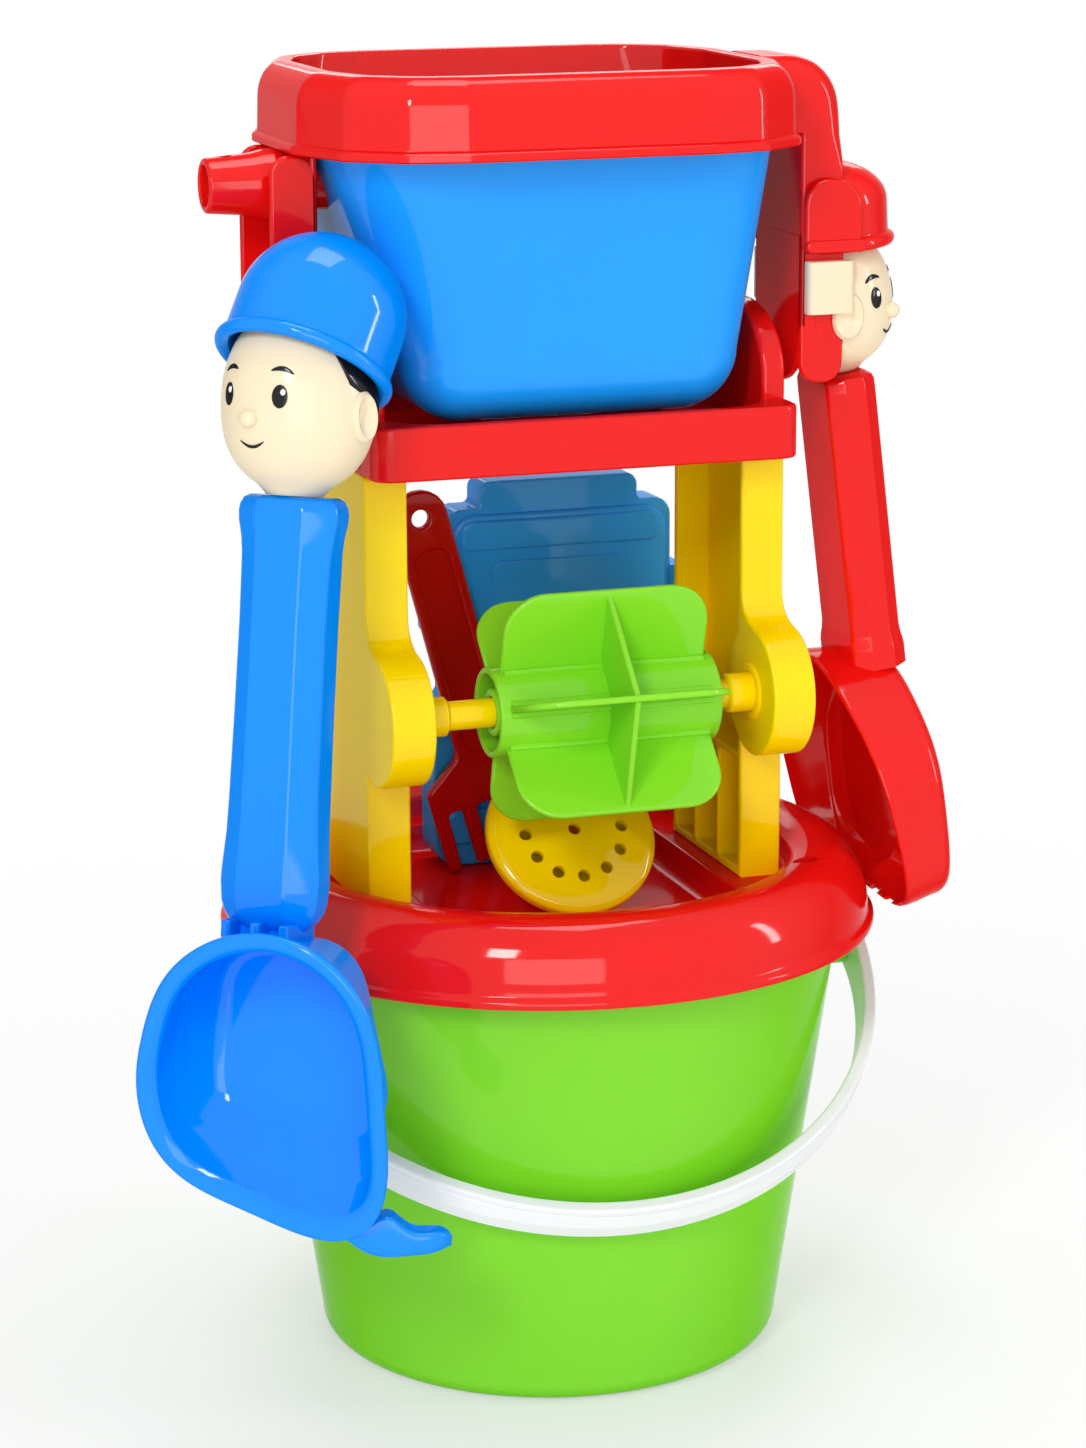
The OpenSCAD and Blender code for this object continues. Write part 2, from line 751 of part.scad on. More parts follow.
module scoop_grip() {
    end_round = 9;
    hull() for (end = [[grip_top, 0.9], [grip_foot + 14, 1]], j = [-1, 1])
        translate([0, j * (scoop_grip_w / 2 * end[1] - end_round), end[0]])
            scale(end[1]) cylinder(r = scoop_grip_d / 2, h = skin, center = true, $fn = hull_fn);
}

module scoop() {
    neck_w = 24;
    neck_h = 24;
    neck_in = 18;
    lip_root = [bowl_back + 9, 24, 3];
    lip_tip = [bowl_back - 2, 43, 8];
    lip_r = 7.5;
    lip_t = 6;
    color(toy_blue) scoop_frame() {
        difference() {
            union() {
                scoop_grip();
                hull() for (j = [-1, 1]) translate([0, j * 5, grip_foot + scoop_grip_d / 2])
                    sphere(scoop_grip_d / 2, $fn = hull_fn);
                translate([bowl_back, -neck_w / 2, bowl_top - neck_in])
                    cube([scoop_grip_d / 2, neck_w, neck_h]);
                bowl_form(0, 0);
                translate([0, bowl_side, bowl_top - bowl_h])
                    hull() for (at = [lip_root, lip_tip])
                        translate(at) cylinder(r = lip_r, h = lip_t, $fn = hull_fn);
            }
            bowl_form(bowl_wall, over);
        }
    }
}

// A doll's head on a flat neck: an egg with two ears, cut at the cap's brim
module doll_head(r, h, neck) {
    rotate_extrude()
        polygon(concat([[0, 0], [neck, 0]],
            oval_points([0, h * 0.48], r, h * 0.48, -60, 90, 18)));
    for (side = [-1, 1]) translate([-2, side * (r - 1), h * 0.42]) sphere(r * 0.36, $fn = 48);
}

// Space above a brim that slopes down to the back
module above_brim(z, slope) {
    size = 200;
    translate([0, 0, z]) rotate([0, -slope, 0]) translate([-size / 2, -size / 2, 0]) cube(size);
}

// A cap: a hollow dome with a rolled brim, square to the brim's slope
module doll_cap(r, h, z, slope, round) {
    brim_t = 4;
    wall = 2.4;
    hold = 6;
    dome = min(round * r, h - brim_t);
    translate([0, 0, z]) rotate([0, -slope, 0]) rotate_extrude()
        polygon(concat([[r - hold, 0], [r, 0], [r + 1, brim_t / 2], [r, brim_t]],
            oval_points([0, h - dome], r - 0.8, dome, 0, 90, 14),
            oval_points([0, h - dome], r - hold, dome - wall, 90, 0, 10)));
}

head_gap = 0.2;
head_foot = grip_top + head_gap;
scoop_head_h = 2.5 * scoop_head_r;
scoop_brim = head_foot + scoop_head_h * 0.63;
clip_z = scoop_at[2] + head_foot + 12;
clip_h = 26;

// Plate of the left arm that the scoop's clip holds, grown by a gap
module left_arm_cheek(gap) {
    translate([-arm_out - gap, -arm_y - gap, clip_z - over])
        cube([arm_d + past + gap, arm_wall + 2 * gap, clip_h + 2 * over]);
}

module scoop_head() {
    clip_t = 4;
    jaw_in = 9;
    clip_l = scoop_front - scoop_head_r / 2;
    color(face_cream) difference() {
        union() {
            scoop_frame() rotate([0, 0, head_turn]) translate([0, 0, head_foot])
                doll_head(scoop_head_r, scoop_head_h, scoop_grip_d / 2 - 1);
            translate([-arm_out - running_gap - clip_t, -arm_y - clip_l, clip_z])
                cube([clip_t + jaw_in, clip_l + arm_wall + running_gap + clip_t, clip_h]);
        }
        scoop_frame() rotate([0, 0, head_turn]) above_brim(scoop_brim, cap_slope);
        left_arm_cheek(running_gap);
    }
}

module scoop_cap() {
    color(toy_blue) scoop_frame()
        rotate([0, 0, head_turn]) doll_cap(scoop_head_r + cap_over, scoop_cap_h, scoop_brim, cap_slope, 0.95);
}

// Frame of the shovel: +X is its outside, +Z runs up its handle
shovel_at = [arm_out + running_gap + grasp_t, 0, rim_z - shovel_hang];
module shovel_frame() {
    translate(shovel_at) rotate([0, -shovel_lean, 0]) children();
}

shovel_grip_l = 92;
spade_top = -shovel_grip_l;

// Outline of the blade, arched at the top, seen from its face
module spade_outline(inset) {
    arch_r = 38;
    translate([0, spade_h - arch_r]) circle(arch_r - inset);
    for (side = [-1, 1]) {
        translate([side * (spade_w / 2 - 26), spade_h * 0.5]) circle(26 - inset);
        translate([side * (spade_w / 2 - 6), 6]) circle(6 - (inset > 0 ? 3 : 0));
    }
}

module spade_form(inset, x_out) {
    foot_z = spade_top - spade_h;
    flare = 3;
    hull() {
        translate([x_out - inset, 0, foot_z]) rotate([90, 0, 90]) linear_extrude(skin)
            spade_outline(inset + flare, $fn = hull_fn);
        intersection() {
            translate([x_out - 60, 0, foot_z]) rotate([90, 0, 90]) linear_extrude(60)
                spade_outline(inset, $fn = hull_fn);
            translate([x_out, 0, foot_z]) rotate([90, 0, 0]) linear_extrude(2 * spade_w, center = true)
                polygon([[0, 0], [-spade_edge_d - (inset > 0 ? over : 0), 0],
                    [-spade_d - (inset > 0 ? over : 0), spade_h], [0, spade_h]]);
        }
    }
}

module shovel() {
    spade_out = shovel_grip_d / 2 - 2;
    tooth = spade_w / spade_teeth;
    tooth_l = 6;
    foot_z = spade_top - spade_h;
    color(toy_red) shovel_frame() difference() {
        union() {
            hull() for (z = [spade_top - 6, 0], j = [-1, 1])
                translate([0, j * (shovel_grip_w - shovel_grip_d) / 2, z])
                    cylinder(r = shovel_grip_d / 2, h = skin, $fn = hull_fn);
            spade_form(0, spade_out);
        }
        spade_form(spade_wall, spade_out);
        for (i = [1:spade_teeth - 1])
            translate([spade_out - spade_edge_d + tooth_l, (i - spade_teeth / 2) * tooth, foot_z])
                rotate([0, -90, 0]) cylinder(r = tooth / 3, h = spade_d);
    }
}

shovel_head_h = 2.35 * shovel_head_r;
shovel_brim = shovel_head_h * 0.84;

module shovel_head() {
    grasp_z = shovel_at[2] + 22;
    grasp_h = 17;
    inner_y = arm_y + running_gap;
    color(face_cream) difference() {
        union() {
            difference() {
                shovel_frame() translate([0, 0, head_gap])
                    doll_head(shovel_head_r, shovel_head_h, shovel_grip_d / 2 - 0.5);
                shovel_frame() above_brim(shovel_brim, -4);
            }
            translate([arm_in + 1, -inner_y - grasp_t, grasp_z])
                cube([arm_d + 6, 2 * (inner_y + grasp_t), grasp_h]);
        }
        translate([arm_in - past, -inner_y, rim_z - arm_drop - 2 * past])
            cube([past + arm_d + running_gap, 2 * inner_y, arm_drop + 4 * past]);
    }
}

module shovel_cap() {
    color(toy_red) difference() {
        shovel_frame() doll_cap(shovel_head_r + cap_over, shovel_cap_h, shovel_brim, -4, 0.6);
        translate([arm_in - past, -arm_y - running_gap, rim_z - arm_drop])
            cube([past + arm_d + running_gap, 2 * (arm_y + running_gap), arm_drop + rim_h]);
    }
}

// Truck front seen from the wheel, open at the back
module truck_outline(inset) {
    corner = 10;
    sill = 52;
    cab_top = truck_h - 9;
    chassis_x = cab_x - 8;
    roof_x = cab_x - 12;
    translate([-chassis_shift, sill / 2 + 4])
        round_rect(chassis_x - inset, sill / 2 + 4 - inset, corner - inset);
    translate([cab_shift, (sill + cab_top) / 2])
        round_rect(cab_x - inset, (cab_top - sill) / 2 - inset, corner - inset);
    translate([cab_shift, truck_h - corner]) round_rect(roof_x - inset, corner - inset, corner / 2 - inset);
}

module truck_mould() {
    mirror_w = 6;
    panel = [0.62 * cab_x, 22];
    color(toy_blue) translate([truck_x, truck_y + truck_d, truck_z]) rotate([90, 0, 0]) difference() {
        union() {
            linear_extrude(truck_d) truck_outline(0);
            for (side = [-1, 1]) translate([cab_shift + side * cab_x, truck_h * 0.68, truck_d / 2])
                cube([2 * mirror_w, 20, truck_d], center = true);
        }
        translate([0, 0, -over]) linear_extrude(truck_d + over - 2 * truck_wall) truck_outline(truck_wall);
        translate([cab_shift, truck_h * 0.66, truck_d - truck_wall]) linear_extrude(over + truck_wall)
            round_rect(panel[0], panel[1] / 2, 4);
    }
}

module rake() {
    bar_h = 9;
    bar_z = 20;
    tooth_w = 5;
    hang_r = 3;
    color(toy_red) translate([rake_x, rake_y, well_z + rake_lift]) rotate([0, -rake_lean, 0])
        translate([0, rake_t, 0]) rotate([90, 0, 0]) linear_extrude(rake_t) difference() {
            union() {
                translate([-rake_w / 2, bar_z]) square([rake_w, bar_h]);
                for (i = [0:rake_teeth - 1])
                    translate([-rake_w / 2 + i * (rake_w - tooth_w) / (rake_teeth - 1), 0])
                        square([tooth_w, bar_z + over]);
                translate([-rake_grip_w / 2, bar_z]) square([rake_grip_w, rake_l - bar_z - rake_grip_w / 2]);
                translate([0, rake_l - rake_grip_w / 2]) circle(rake_grip_w / 2);
            }
            translate([0, rake_l - rake_grip_w / 2]) circle(hang_r);
        }
}

bucket();
bucket_handle();
mill_base();
left_post();
right_post();
axle();
paddle_wheel();
funnel();
can_floor();
can_front();
can_back();
can_left();
can_right();
can_rim();
can_spout();
can_handle();
sprinkler_rose();
scoop();
scoop_head();
scoop_cap();
shovel();
shovel_head();
shovel_cap();
truck_mould();
rake();
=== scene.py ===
from math import acos, atan, atan2, cos, degrees, exp, hypot, pi, radians, sin, sqrt, tan
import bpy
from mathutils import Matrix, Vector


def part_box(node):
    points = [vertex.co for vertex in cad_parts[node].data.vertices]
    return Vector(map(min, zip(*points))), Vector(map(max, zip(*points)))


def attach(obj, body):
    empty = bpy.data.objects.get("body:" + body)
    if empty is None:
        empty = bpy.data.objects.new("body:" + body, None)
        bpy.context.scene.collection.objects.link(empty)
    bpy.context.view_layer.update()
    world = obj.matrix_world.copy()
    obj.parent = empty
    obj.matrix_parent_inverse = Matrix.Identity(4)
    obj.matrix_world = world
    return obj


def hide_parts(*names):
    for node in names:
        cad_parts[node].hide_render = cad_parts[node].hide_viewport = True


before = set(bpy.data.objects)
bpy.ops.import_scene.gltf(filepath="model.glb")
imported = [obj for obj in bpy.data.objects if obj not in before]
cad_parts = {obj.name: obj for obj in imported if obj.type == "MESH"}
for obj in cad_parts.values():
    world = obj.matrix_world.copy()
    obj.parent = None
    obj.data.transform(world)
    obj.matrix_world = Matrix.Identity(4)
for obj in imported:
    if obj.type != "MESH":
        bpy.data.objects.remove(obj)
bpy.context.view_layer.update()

from types import SimpleNamespace

import bmesh
import bpy
from mathutils import Matrix, Vector
from mathutils.geometry import tessellate_polygon

mm = 0.001  # everything below is drawn in millimetres and scaled once, in finishMesh
scene = bpy.context.scene
print("frame loaded with", len(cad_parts), "nodes")


def named(form):
    # a piece's dictionary with its sizes as attributes
    return SimpleNamespace(**form)


def nodeBox(node):
    low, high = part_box(node)
    return low / mm, high / mm


def turn(axis, angle):
    return Matrix.Rotation(radians(angle), 4, axis)


def shift(x, y, z):
    return Matrix.Translation((x, y, z))


def blendValue(a, b, t):
    return a + (b - a) * t


def arc(centre, radii, start, stop, steps):
    # points on a round or oval arc, angles in degrees
    across, up = radii if isinstance(radii, tuple) else (radii, radii)
    points = []
    for i in range(steps + 1):
        angle = radians(blendValue(start, stop, i / steps))
        points.append((centre[0] + across * cos(angle), centre[1] + up * sin(angle)))
    return points


def softOutline(corners, steps=6):
    # a closed outline from (x, y, radius) corners, each rounded with its own radius
    points = []
    for i, (x, y, radius) in enumerate(corners):
        here = Vector((x, y))
        toBack = Vector(corners[i - 1][:2]) - here
        toNext = Vector(corners[(i + 1) % len(corners)][:2]) - here
        if radius <= 0:
            points.append(here)
            continue
        half = toBack.angle(toNext) / 2
        reach = min(radius / tan(half), 0.49 * toBack.length, 0.49 * toNext.length)
        fitted = reach * tan(half)
        toBack.normalize()
        toNext.normalize()
        centre = here + (toBack + toNext).normalized() * fitted / sin(half)
        first = here + toBack * reach - centre
        last = here + toNext * reach - centre
        begin = atan2(first.y, first.x)
        sweep = (atan2(last.y, last.x) - begin + pi) % (2 * pi) - pi
        for k in range(steps + 1):
            angle = begin + sweep * k / steps
            points.append(centre + fitted * Vector((cos(angle), sin(angle))))
    return points


def rectOutline(x0, y0, x1, y1, radius, steps=6):
    return softOutline([(x0, y0, radius), (x1, y0, radius), (x1, y1, radius), (x0, y1, radius)], steps)


def path(points):
    return [Vector(p) for p in points]


def spokes(count):
    # points evenly round a circle of radius one
    angles = [2 * pi * i / count for i in range(count)]
    return [(cos(a), sin(a)) for a in angles]


def facingX(sign, x):
    # lays a flat outline's x and y along Y and Z, its height along X
    return Matrix(((0, 0, sign, x), (1, 0, 0, 0), (0, 1, 0, 0), (0, 0, 0, 1)))


def facingY(sign, y, x=0, z=0, across=1):
    # lays a flat outline's x and y along X and Z, its height along Y
    return Matrix(((across, 0, 0, x), (0, 0, sign, y), (0, 1, 0, z), (0, 0, 0, 1)))


def hullOutline(circles, count):
    # boundary of the hull of (x, y, radius) circles, sampled by direction
    points = []
    for ray in path(spokes(count)):
        x, y, radius = max(circles, key=lambda c: c[0] * ray.x + c[1] * ray.y + c[2])
        points.append(Vector((x, y)) + radius * ray)
    return points


def roundedOutline(circles, count, reach, passes=3):
    # the hull of circles sampled by angle about its middle, its radius then averaged over neighbours
    hull, rays = hullOutline(circles, 4 * count), path(spokes(count))
    middle = sum((Vector(c[:2]) for c in circles), Vector((0, 0))) / len(circles)
    radii = []
    for ray in rays:
        best = 0
        for k, point in enumerate(hull):
            a, edge = hull[k - 1] - middle, point - hull[k - 1]
            cross = ray.x * edge.y - ray.y * edge.x
            if abs(cross) > 1e-9 and -1e-6 <= (a.x * ray.y - a.y * ray.x) / cross <= 1 + 1e-6:
                best = max(best, (a.x * edge.y - a.y * edge.x) / cross)
        radii.append(best)
    window = range(-reach, reach + 1)
    for k in range(passes):
        radii = [sum(radii[(i + j) % count] for j in window) / len(window) for i in range(count)]
    return [middle + radius * ray for radius, ray in zip(radii, rays)]


quarter = [pi / 16 * k for k in range(9)]


def filletRings(ring, start, depth, angles):
    # a shell's rings round the fillet between its back and its wall
    return [ring(start + depth * (1 - sin(a)), 0, start + depth * (1 - cos(a))) for a in angles]


def outset(points, amount):
    # moves a counterclockwise outline outwards along its corner normals
    moved = []
    for i, point in enumerate(points):
        before = (point - points[i - 1]).normalized()
        after = (points[(i + 1) % len(points)] - point).normalized()
        first = Vector((before.y, -before.x))
        second = Vector((after.y, -after.x))
        moved.append(point + (first + second) * amount / max(0.4, 1 + first.dot(second)))
    return moved


def boxRing(halfX, halfY, radius, z, steps=10, centre=(0, 0)):
    # a level ring round a rounded rectangle
    ring = []
    for cx, cy, start in ((1, 1, 0), (-1, 1, 90), (-1, -1, 180), (1, -1, 270)):
        middle = (centre[0] + cx * (halfX - radius), centre[1] + cy * (halfY - radius))
        ring += [(x, y, z) for x, y in arc(middle, radius, start, start + 90, steps)]
    return ring


facetCuts = (0, 25, 53, 90)  # where a corner's three flats meet, in degrees


def facetRing(halfX, halfY, radius, z, centre, soft=10):
    # a level ring round a rectangle whose corners are cut in three flats with soft edges
    corners = []
    for sx, sy in ((1, -1), (1, 1), (-1, 1), (-1, -1)):
        for angle in facetCuts if sx * sy < 0 else reversed(facetCuts):
            a = radians(angle)
            x = halfX - radius + radius * sin(a)
            y = halfY - radius + radius * cos(a)
            corners.append((centre[0] + sx * x, centre[1] + sy * y, soft))
    return [(p.x, p.y, z) for p in softOutline(corners, 4)]


def skinRows(bm, rows):
    for low, high in zip(rows, rows[1:]):
        for i in range(len(low)):
            j = (i + 1) % len(low)
            bm.faces.new((low[i], low[j], high[j], high[i]))


def addLoft(bm, rings, place=None, capStart=False, capEnd=False, loop=False):
    place = place or Matrix()
    rows = [[bm.verts.new(place @ Vector(p)) for p in ring] for ring in rings]
    skinRows(bm, rows + rows[:1] if loop else rows)
    if capStart:
        bm.faces.new(rows[0])
    if capEnd:
        bm.faces.new(rows[-1])


def addSolid(bm, rings, place=None):
    addLoft(bm, rings, place, capStart=True, capEnd=True)


def addLathe(bm, profile, place=None, steps=96, loop=False):
    # profile is (radius, height); a radius of zero closes on the axis
    rings = [[(radius * c, radius * s, z) for c, s in spokes(steps)] for radius, z in profile]
    addLoft(bm, rings, place, loop=loop)


def addPlate(bm, outline, low, high, edge=0.8, place=None, holes=(), pockets=(), steps=3):
    # a flat plate with rolled edges; holes go through, pockets are (outline, floor) from the top
    place = place or Matrix()

    def wall(points, levels):
        return [[bm.verts.new(place @ Vector((p.x, p.y, z))) for p in outset(points, grow)]
                for grow, z in levels]

    def cap(rims):
        if len(rims) == 1:
            bm.faces.new(rims[0])
            return
        flat = [v for rim in rims for v in rim]
        for tri in tessellate_polygon([[v.co for v in rim] for rim in rims]):
            bm.faces.new([flat[i] for i in tri])

    bends = [pi * k / 2 / steps for k in range(steps + 1)]
    roll = [(edge * (1 - sin(a)), edge * (1 - cos(a))) for a in bends]
    under = [(-grow, low + rise) for grow, rise in roll]
    upper = [(-grow, high - rise) for grow, rise in reversed(roll)]
    body = wall(outline, under + upper)
    skinRows(bm, body)
    lowRims, highRims = [body[0]], [body[-1]]
    for hole in holes:
        rows = wall(hole, [(-grow, z) for grow, z in under + upper])
        skinRows(bm, rows)
        lowRims.append(rows[0])
        highRims.append(rows[-1])
    for pocket, floor in pockets:
        rows = wall(pocket, [(0, floor)] + [(-grow, z) for grow, z in upper])
        skinRows(bm, rows)
        bm.faces.new(rows[0])
        highRims.append(rows[-1])
    cap(lowRims)
    cap(highRims)


def addBall(bm, centre, radii, place=None, steps=32):
    place = place or Matrix()
    profile = arc((0, 0), 1, -90, 90, steps // 2)
    size = Matrix.Diagonal((*radii, 1))
    addLathe(bm, profile, place @ shift(*centre) @ size, steps)


def finishMesh(name, bm, material, place=None, smooth=32):
    bmesh.ops.remove_doubles(bm, verts=bm.verts, dist=0.004)
    bmesh.ops.recalc_face_normals(bm, faces=bm.faces)
    bm.transform(place or Matrix())
    bm.transform(Matrix.Scale(mm, 4))
    mesh = bpy.data.meshes.new(name)
    bm.to_mesh(mesh)
    bm.free()
    mesh.shade_smooth()
    mesh.set_sharp_from_angle(angle=radians(smooth))
    mesh.materials.append(material)
    piece = bpy.data.objects.new(name, mesh)
    scene.collection.objects.link(piece)
    return piece


def bakeModifiers(piece):
    bpy.context.view_layer.update()
    made = bpy.data.meshes.new_from_object(piece.evaluated_get(bpy.context.evaluated_depsgraph_get()))
    piece.modifiers.clear()
    whole = piece.data
    piece.data = made
    bpy.data.meshes.remove(whole)


def settle(piece, body, slot, *nodes):
    # flats keep their own normal, so that only the rolled edges shade round
    piece.modifiers.new("evenFlats", "WEIGHTED_NORMAL").keep_sharp = True
    bakeModifiers(piece)
    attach(piece, body)
    if nodes:
        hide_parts(*nodes)
    return piece


def cutOut(piece, cutters, smooth=32, crossing=False):
    # takes each cutter away from the piece and keeps the result as its mesh
    for cutter in cutters:
        tool = piece.modifiers.new("cut", "BOOLEAN")
        tool.object = cutter
        tool.operation = "DIFFERENCE"
        tool.solver = "EXACT"
        tool.use_self = crossing
    bakeModifiers(piece)
    for cutter in cutters:
        bpy.data.objects.remove(cutter)
    piece.data.shade_smooth()
    piece.data.set_sharp_from_angle(angle=radians(smooth))


def drill(radius, start, direction, length, steps=32):
    # a round cutter from a start point along a direction
    bm = bmesh.new()
    aim = Vector(direction).to_track_quat("Z", "Y").to_matrix().to_4x4()
    addLathe(bm, [(0, 0), (radius, 0), (radius, length), (0, length)], shift(*start) @ aim, steps)
    return finishMesh("cutter", bm, plastics["red"])


def blockCutter(low, high):
    bm = bmesh.new()
    addPlate(bm, rectOutline(low[0], low[1], high[0], high[1], 0), low[2], high[2], 0)
    return finishMesh("cutter", bm, plastics["red"])


# Materials

def srgb(*levels):
    linear = [v / 255 / 12.92 if v / 255 <= 0.04045 else ((v / 255 + 0.055) / 1.055) ** 2.4 for v in levels]
    return (*linear, 1)


def feed(node, inputs):
    # sets a node's inputs: an output is linked, anything else is the socket's own value
    for name, value in inputs.items():
        if isinstance(value, bpy.types.NodeSocket):
            node.id_data.links.new(value, node.inputs[name])
        else:
            node.inputs[name].default_value = value
    return node


def addNode(tree, kind, inputs=None, **settings):
    node = tree.nodes.new(kind)
    for name, value in settings.items():
        setattr(node, name, value)
    return feed(node, inputs or {})


mouldMarks = {"flowScale": 9.0, "flowTwist": 1.5, "peelScale": 260.0, "scuffScale": 42.0,
              "scuffStretch": 14.0, "scuffTurn": (0.3, 0.5, 0.9), "scuffFrom": 0.56, "scuffTo": 0.74}
mouldSockets = {
    "INPUT": {"Colour": "Color", "Deep colour": "Color", "Flow": "Float", "Gloss": "Float", "Scuff": "Float"},
    "OUTPUT": {"Colour": "Color", "Roughness": "Float", "Height": "Float"},
}


def makeMouldGroup():
    # flow streaks in the colour, hair scuffs in the gloss and a faint orange peel
    f = named(mouldMarks)
    group = bpy.data.node_groups.new("mouldedPlastic", "ShaderNodeTree")
    for way, sockets in mouldSockets.items():
        for name, kind in sockets.items():
            group.interface.new_socket(name, in_out=way, socket_type="NodeSocket" + kind)
    given = addNode(group, "NodeGroupInput").outputs
    where = addNode(group, "ShaderNodeTexCoord").outputs["Object"]

    def noise(vector, scale, detail, twist=0.0):
        inputs = {"Vector": vector, "Scale": scale, "Detail": detail, "Distortion": twist}
        return addNode(group, "ShaderNodeTexNoise", inputs).outputs["Fac"]

    flow = noise(where, f.flowScale, 3, f.flowTwist)
    amount = addNode(group, "ShaderNodeMath", {0: flow, 1: given["Flow"]}, operation="MULTIPLY")
    tint = {"Factor": amount.outputs[0], "A": given["Colour"], "B": given["Deep colour"]}
    tint = addNode(group, "ShaderNodeMix", tint, data_type="RGBA")
    stretch = {"Vector": where, "Scale": (f.scuffStretch, 1, 1), "Rotation": f.scuffTurn}
    hair = noise(addNode(group, "ShaderNodeMapping", stretch).outputs["Vector"], f.scuffScale, 6)
    thin = {"Value": hair, "From Min": f.scuffFrom, "From Max": f.scuffTo}
    thin = addNode(group, "ShaderNodeMapRange", thin)
    scuff = {0: thin.outputs["Result"], 1: given["Scuff"], 2: given["Gloss"]}
    scuff = addNode(group, "ShaderNodeMath", scuff, operation="MULTIPLY_ADD")
    peel = noise(where, f.peelScale, 2)
    made = {"Colour": tint.outputs["Result"], "Roughness": scuff.outputs[0], "Height": peel}
    addNode(group, "NodeGroupOutput", made)
    return group


mouldGroup = makeMouldGroup()
polishForm = {"start": 0.2, "stop": 0.62, "facing": 0.72, "under": 0.02, "coatShare": 0.7, "peelDepth": 0.4,
              "glowReach": (0.004, 0.003, 0.002)}


def plastic(name, colour, deep, flow=0.5, gloss=0.1, scuff=0.1, peel=0.02, glow=0.0):
    f = named(polishForm)
    material = bpy.data.materials.new(name)
    material.use_nodes = True
    tree = material.node_tree
    marks = {"Colour": srgb(*colour), "Deep colour": srgb(*deep), "Flow": flow, "Gloss": gloss, "Scuff": scuff}
    marks = addNode(tree, "ShaderNodeGroup", marks, node_tree=mouldGroup).outputs
    bump = {"Strength": peel, "Distance": f.peelDepth * mm, "Height": marks["Height"]}
    bump = addNode(tree, "ShaderNodeBump", bump)
    # the polish is a coat that is held back aslant, so that flats seen edge on keep their colour
    polish = {"Value": addNode(tree, "ShaderNodeLayerWeight").outputs["Facing"], "From Min": f.start,
              "From Max": f.stop, "To Min": f.facing, "To Max": 0}
    polish = addNode(tree, "ShaderNodeMapRange", polish, interpolation_type="SMOOTHSTEP")
    worn = {0: polish.outputs["Result"], 1: marks["Roughness"]}
    worn = addNode(tree, "ShaderNodeMath", worn, operation="SUBTRACT", use_clamp=True)
    feed(tree.nodes["Principled BSDF"], {
        "Base Color": marks["Colour"], "Roughness": marks["Roughness"], "Normal": bump.outputs["Normal"],
        "Coat Weight": worn.outputs[0], "Coat Roughness": gloss * f.coatShare, "Specular IOR Level": f.under,
        "Subsurface Weight": glow, "Subsurface Radius": f.glowReach})
    return material


plastics = {
    "red": plastic("redPlastic", (234, 20, 16), (220, 8, 10)),
    # the rake's darker copy of the red is painted shade: it darkens the plastic for the shadow the rake stands
    # in behind the left post
    "shadedRed": plastic("shadedRedPlastic", (196, 10, 16), (160, 4, 10)),
    "blue": plastic("bluePlastic", (0, 142, 250), (0, 126, 242)),
    "canBlue": plastic("canBluePlastic", (30, 160, 255), (8, 145, 250), flow=0.6),
    "mouldBlue": plastic("mouldBluePlastic", (52, 168, 255), (34, 154, 252)),
    "bucketGreen": plastic("bucketGreenPlastic", (130, 216, 40), (112, 204, 28)),
    "wheelGreen": plastic("wheelGreenPlastic", (140, 222, 44), (126, 212, 32)),
    "yellow": plastic("yellowPlastic", (255, 222, 0), (252, 206, 0)),
    "white": plastic("whitePlastic", (244, 244, 246), (232, 234, 238), gloss=0.2),
    "cream": plastic("creamPlastic", (244, 228, 196), (240, 220, 184), gloss=0.22, glow=0.08),
    "ink": plastic("blackPrint", (16, 16, 18), (30, 28, 30), gloss=0.16),
    "eyeWhite": plastic("whitePrint", (250, 250, 250), (240, 240, 242), gloss=0.16),
}
print("materials made:", len(plastics))


# Camera at the photograph's place, image 1086 by 1448, focal length in pixels

shot = {"place": (-405.8, -1203.7, 516.2), "yaw": 18.58, "pitch": 13.68, "roll": -0.24, "focal": 3986.0,
        "tall": 1448.0}


def makeCamera():
    lens = bpy.data.cameras.new("photoCamera")
    lens.sensor_width = 36
    lens.lens = shot["focal"] * lens.sensor_width / shot["tall"]
    lens.clip_start = 0.05
    camera = bpy.data.objects.new("photoCamera", lens)
    aim = turn("Z", -shot["yaw"]) @ turn("X", 90 - shot["pitch"]) @ turn("Z", shot["roll"])
    camera.matrix_world = Matrix.Translation(Vector(shot["place"]) * mm) @ aim
    scene.collection.objects.link(camera)
    scene.camera = camera


makeCamera()


# Bucket and its handle

bucketForm = {"footRadius": 76.5, "footRound": 8.0, "wall": 2.4, "underRise": 1.8, "underRadius": 62.0,
              "earRadius": 9.0, "earBore": 3.85, "earDrop": 36.0, "earEdge": 1.2}


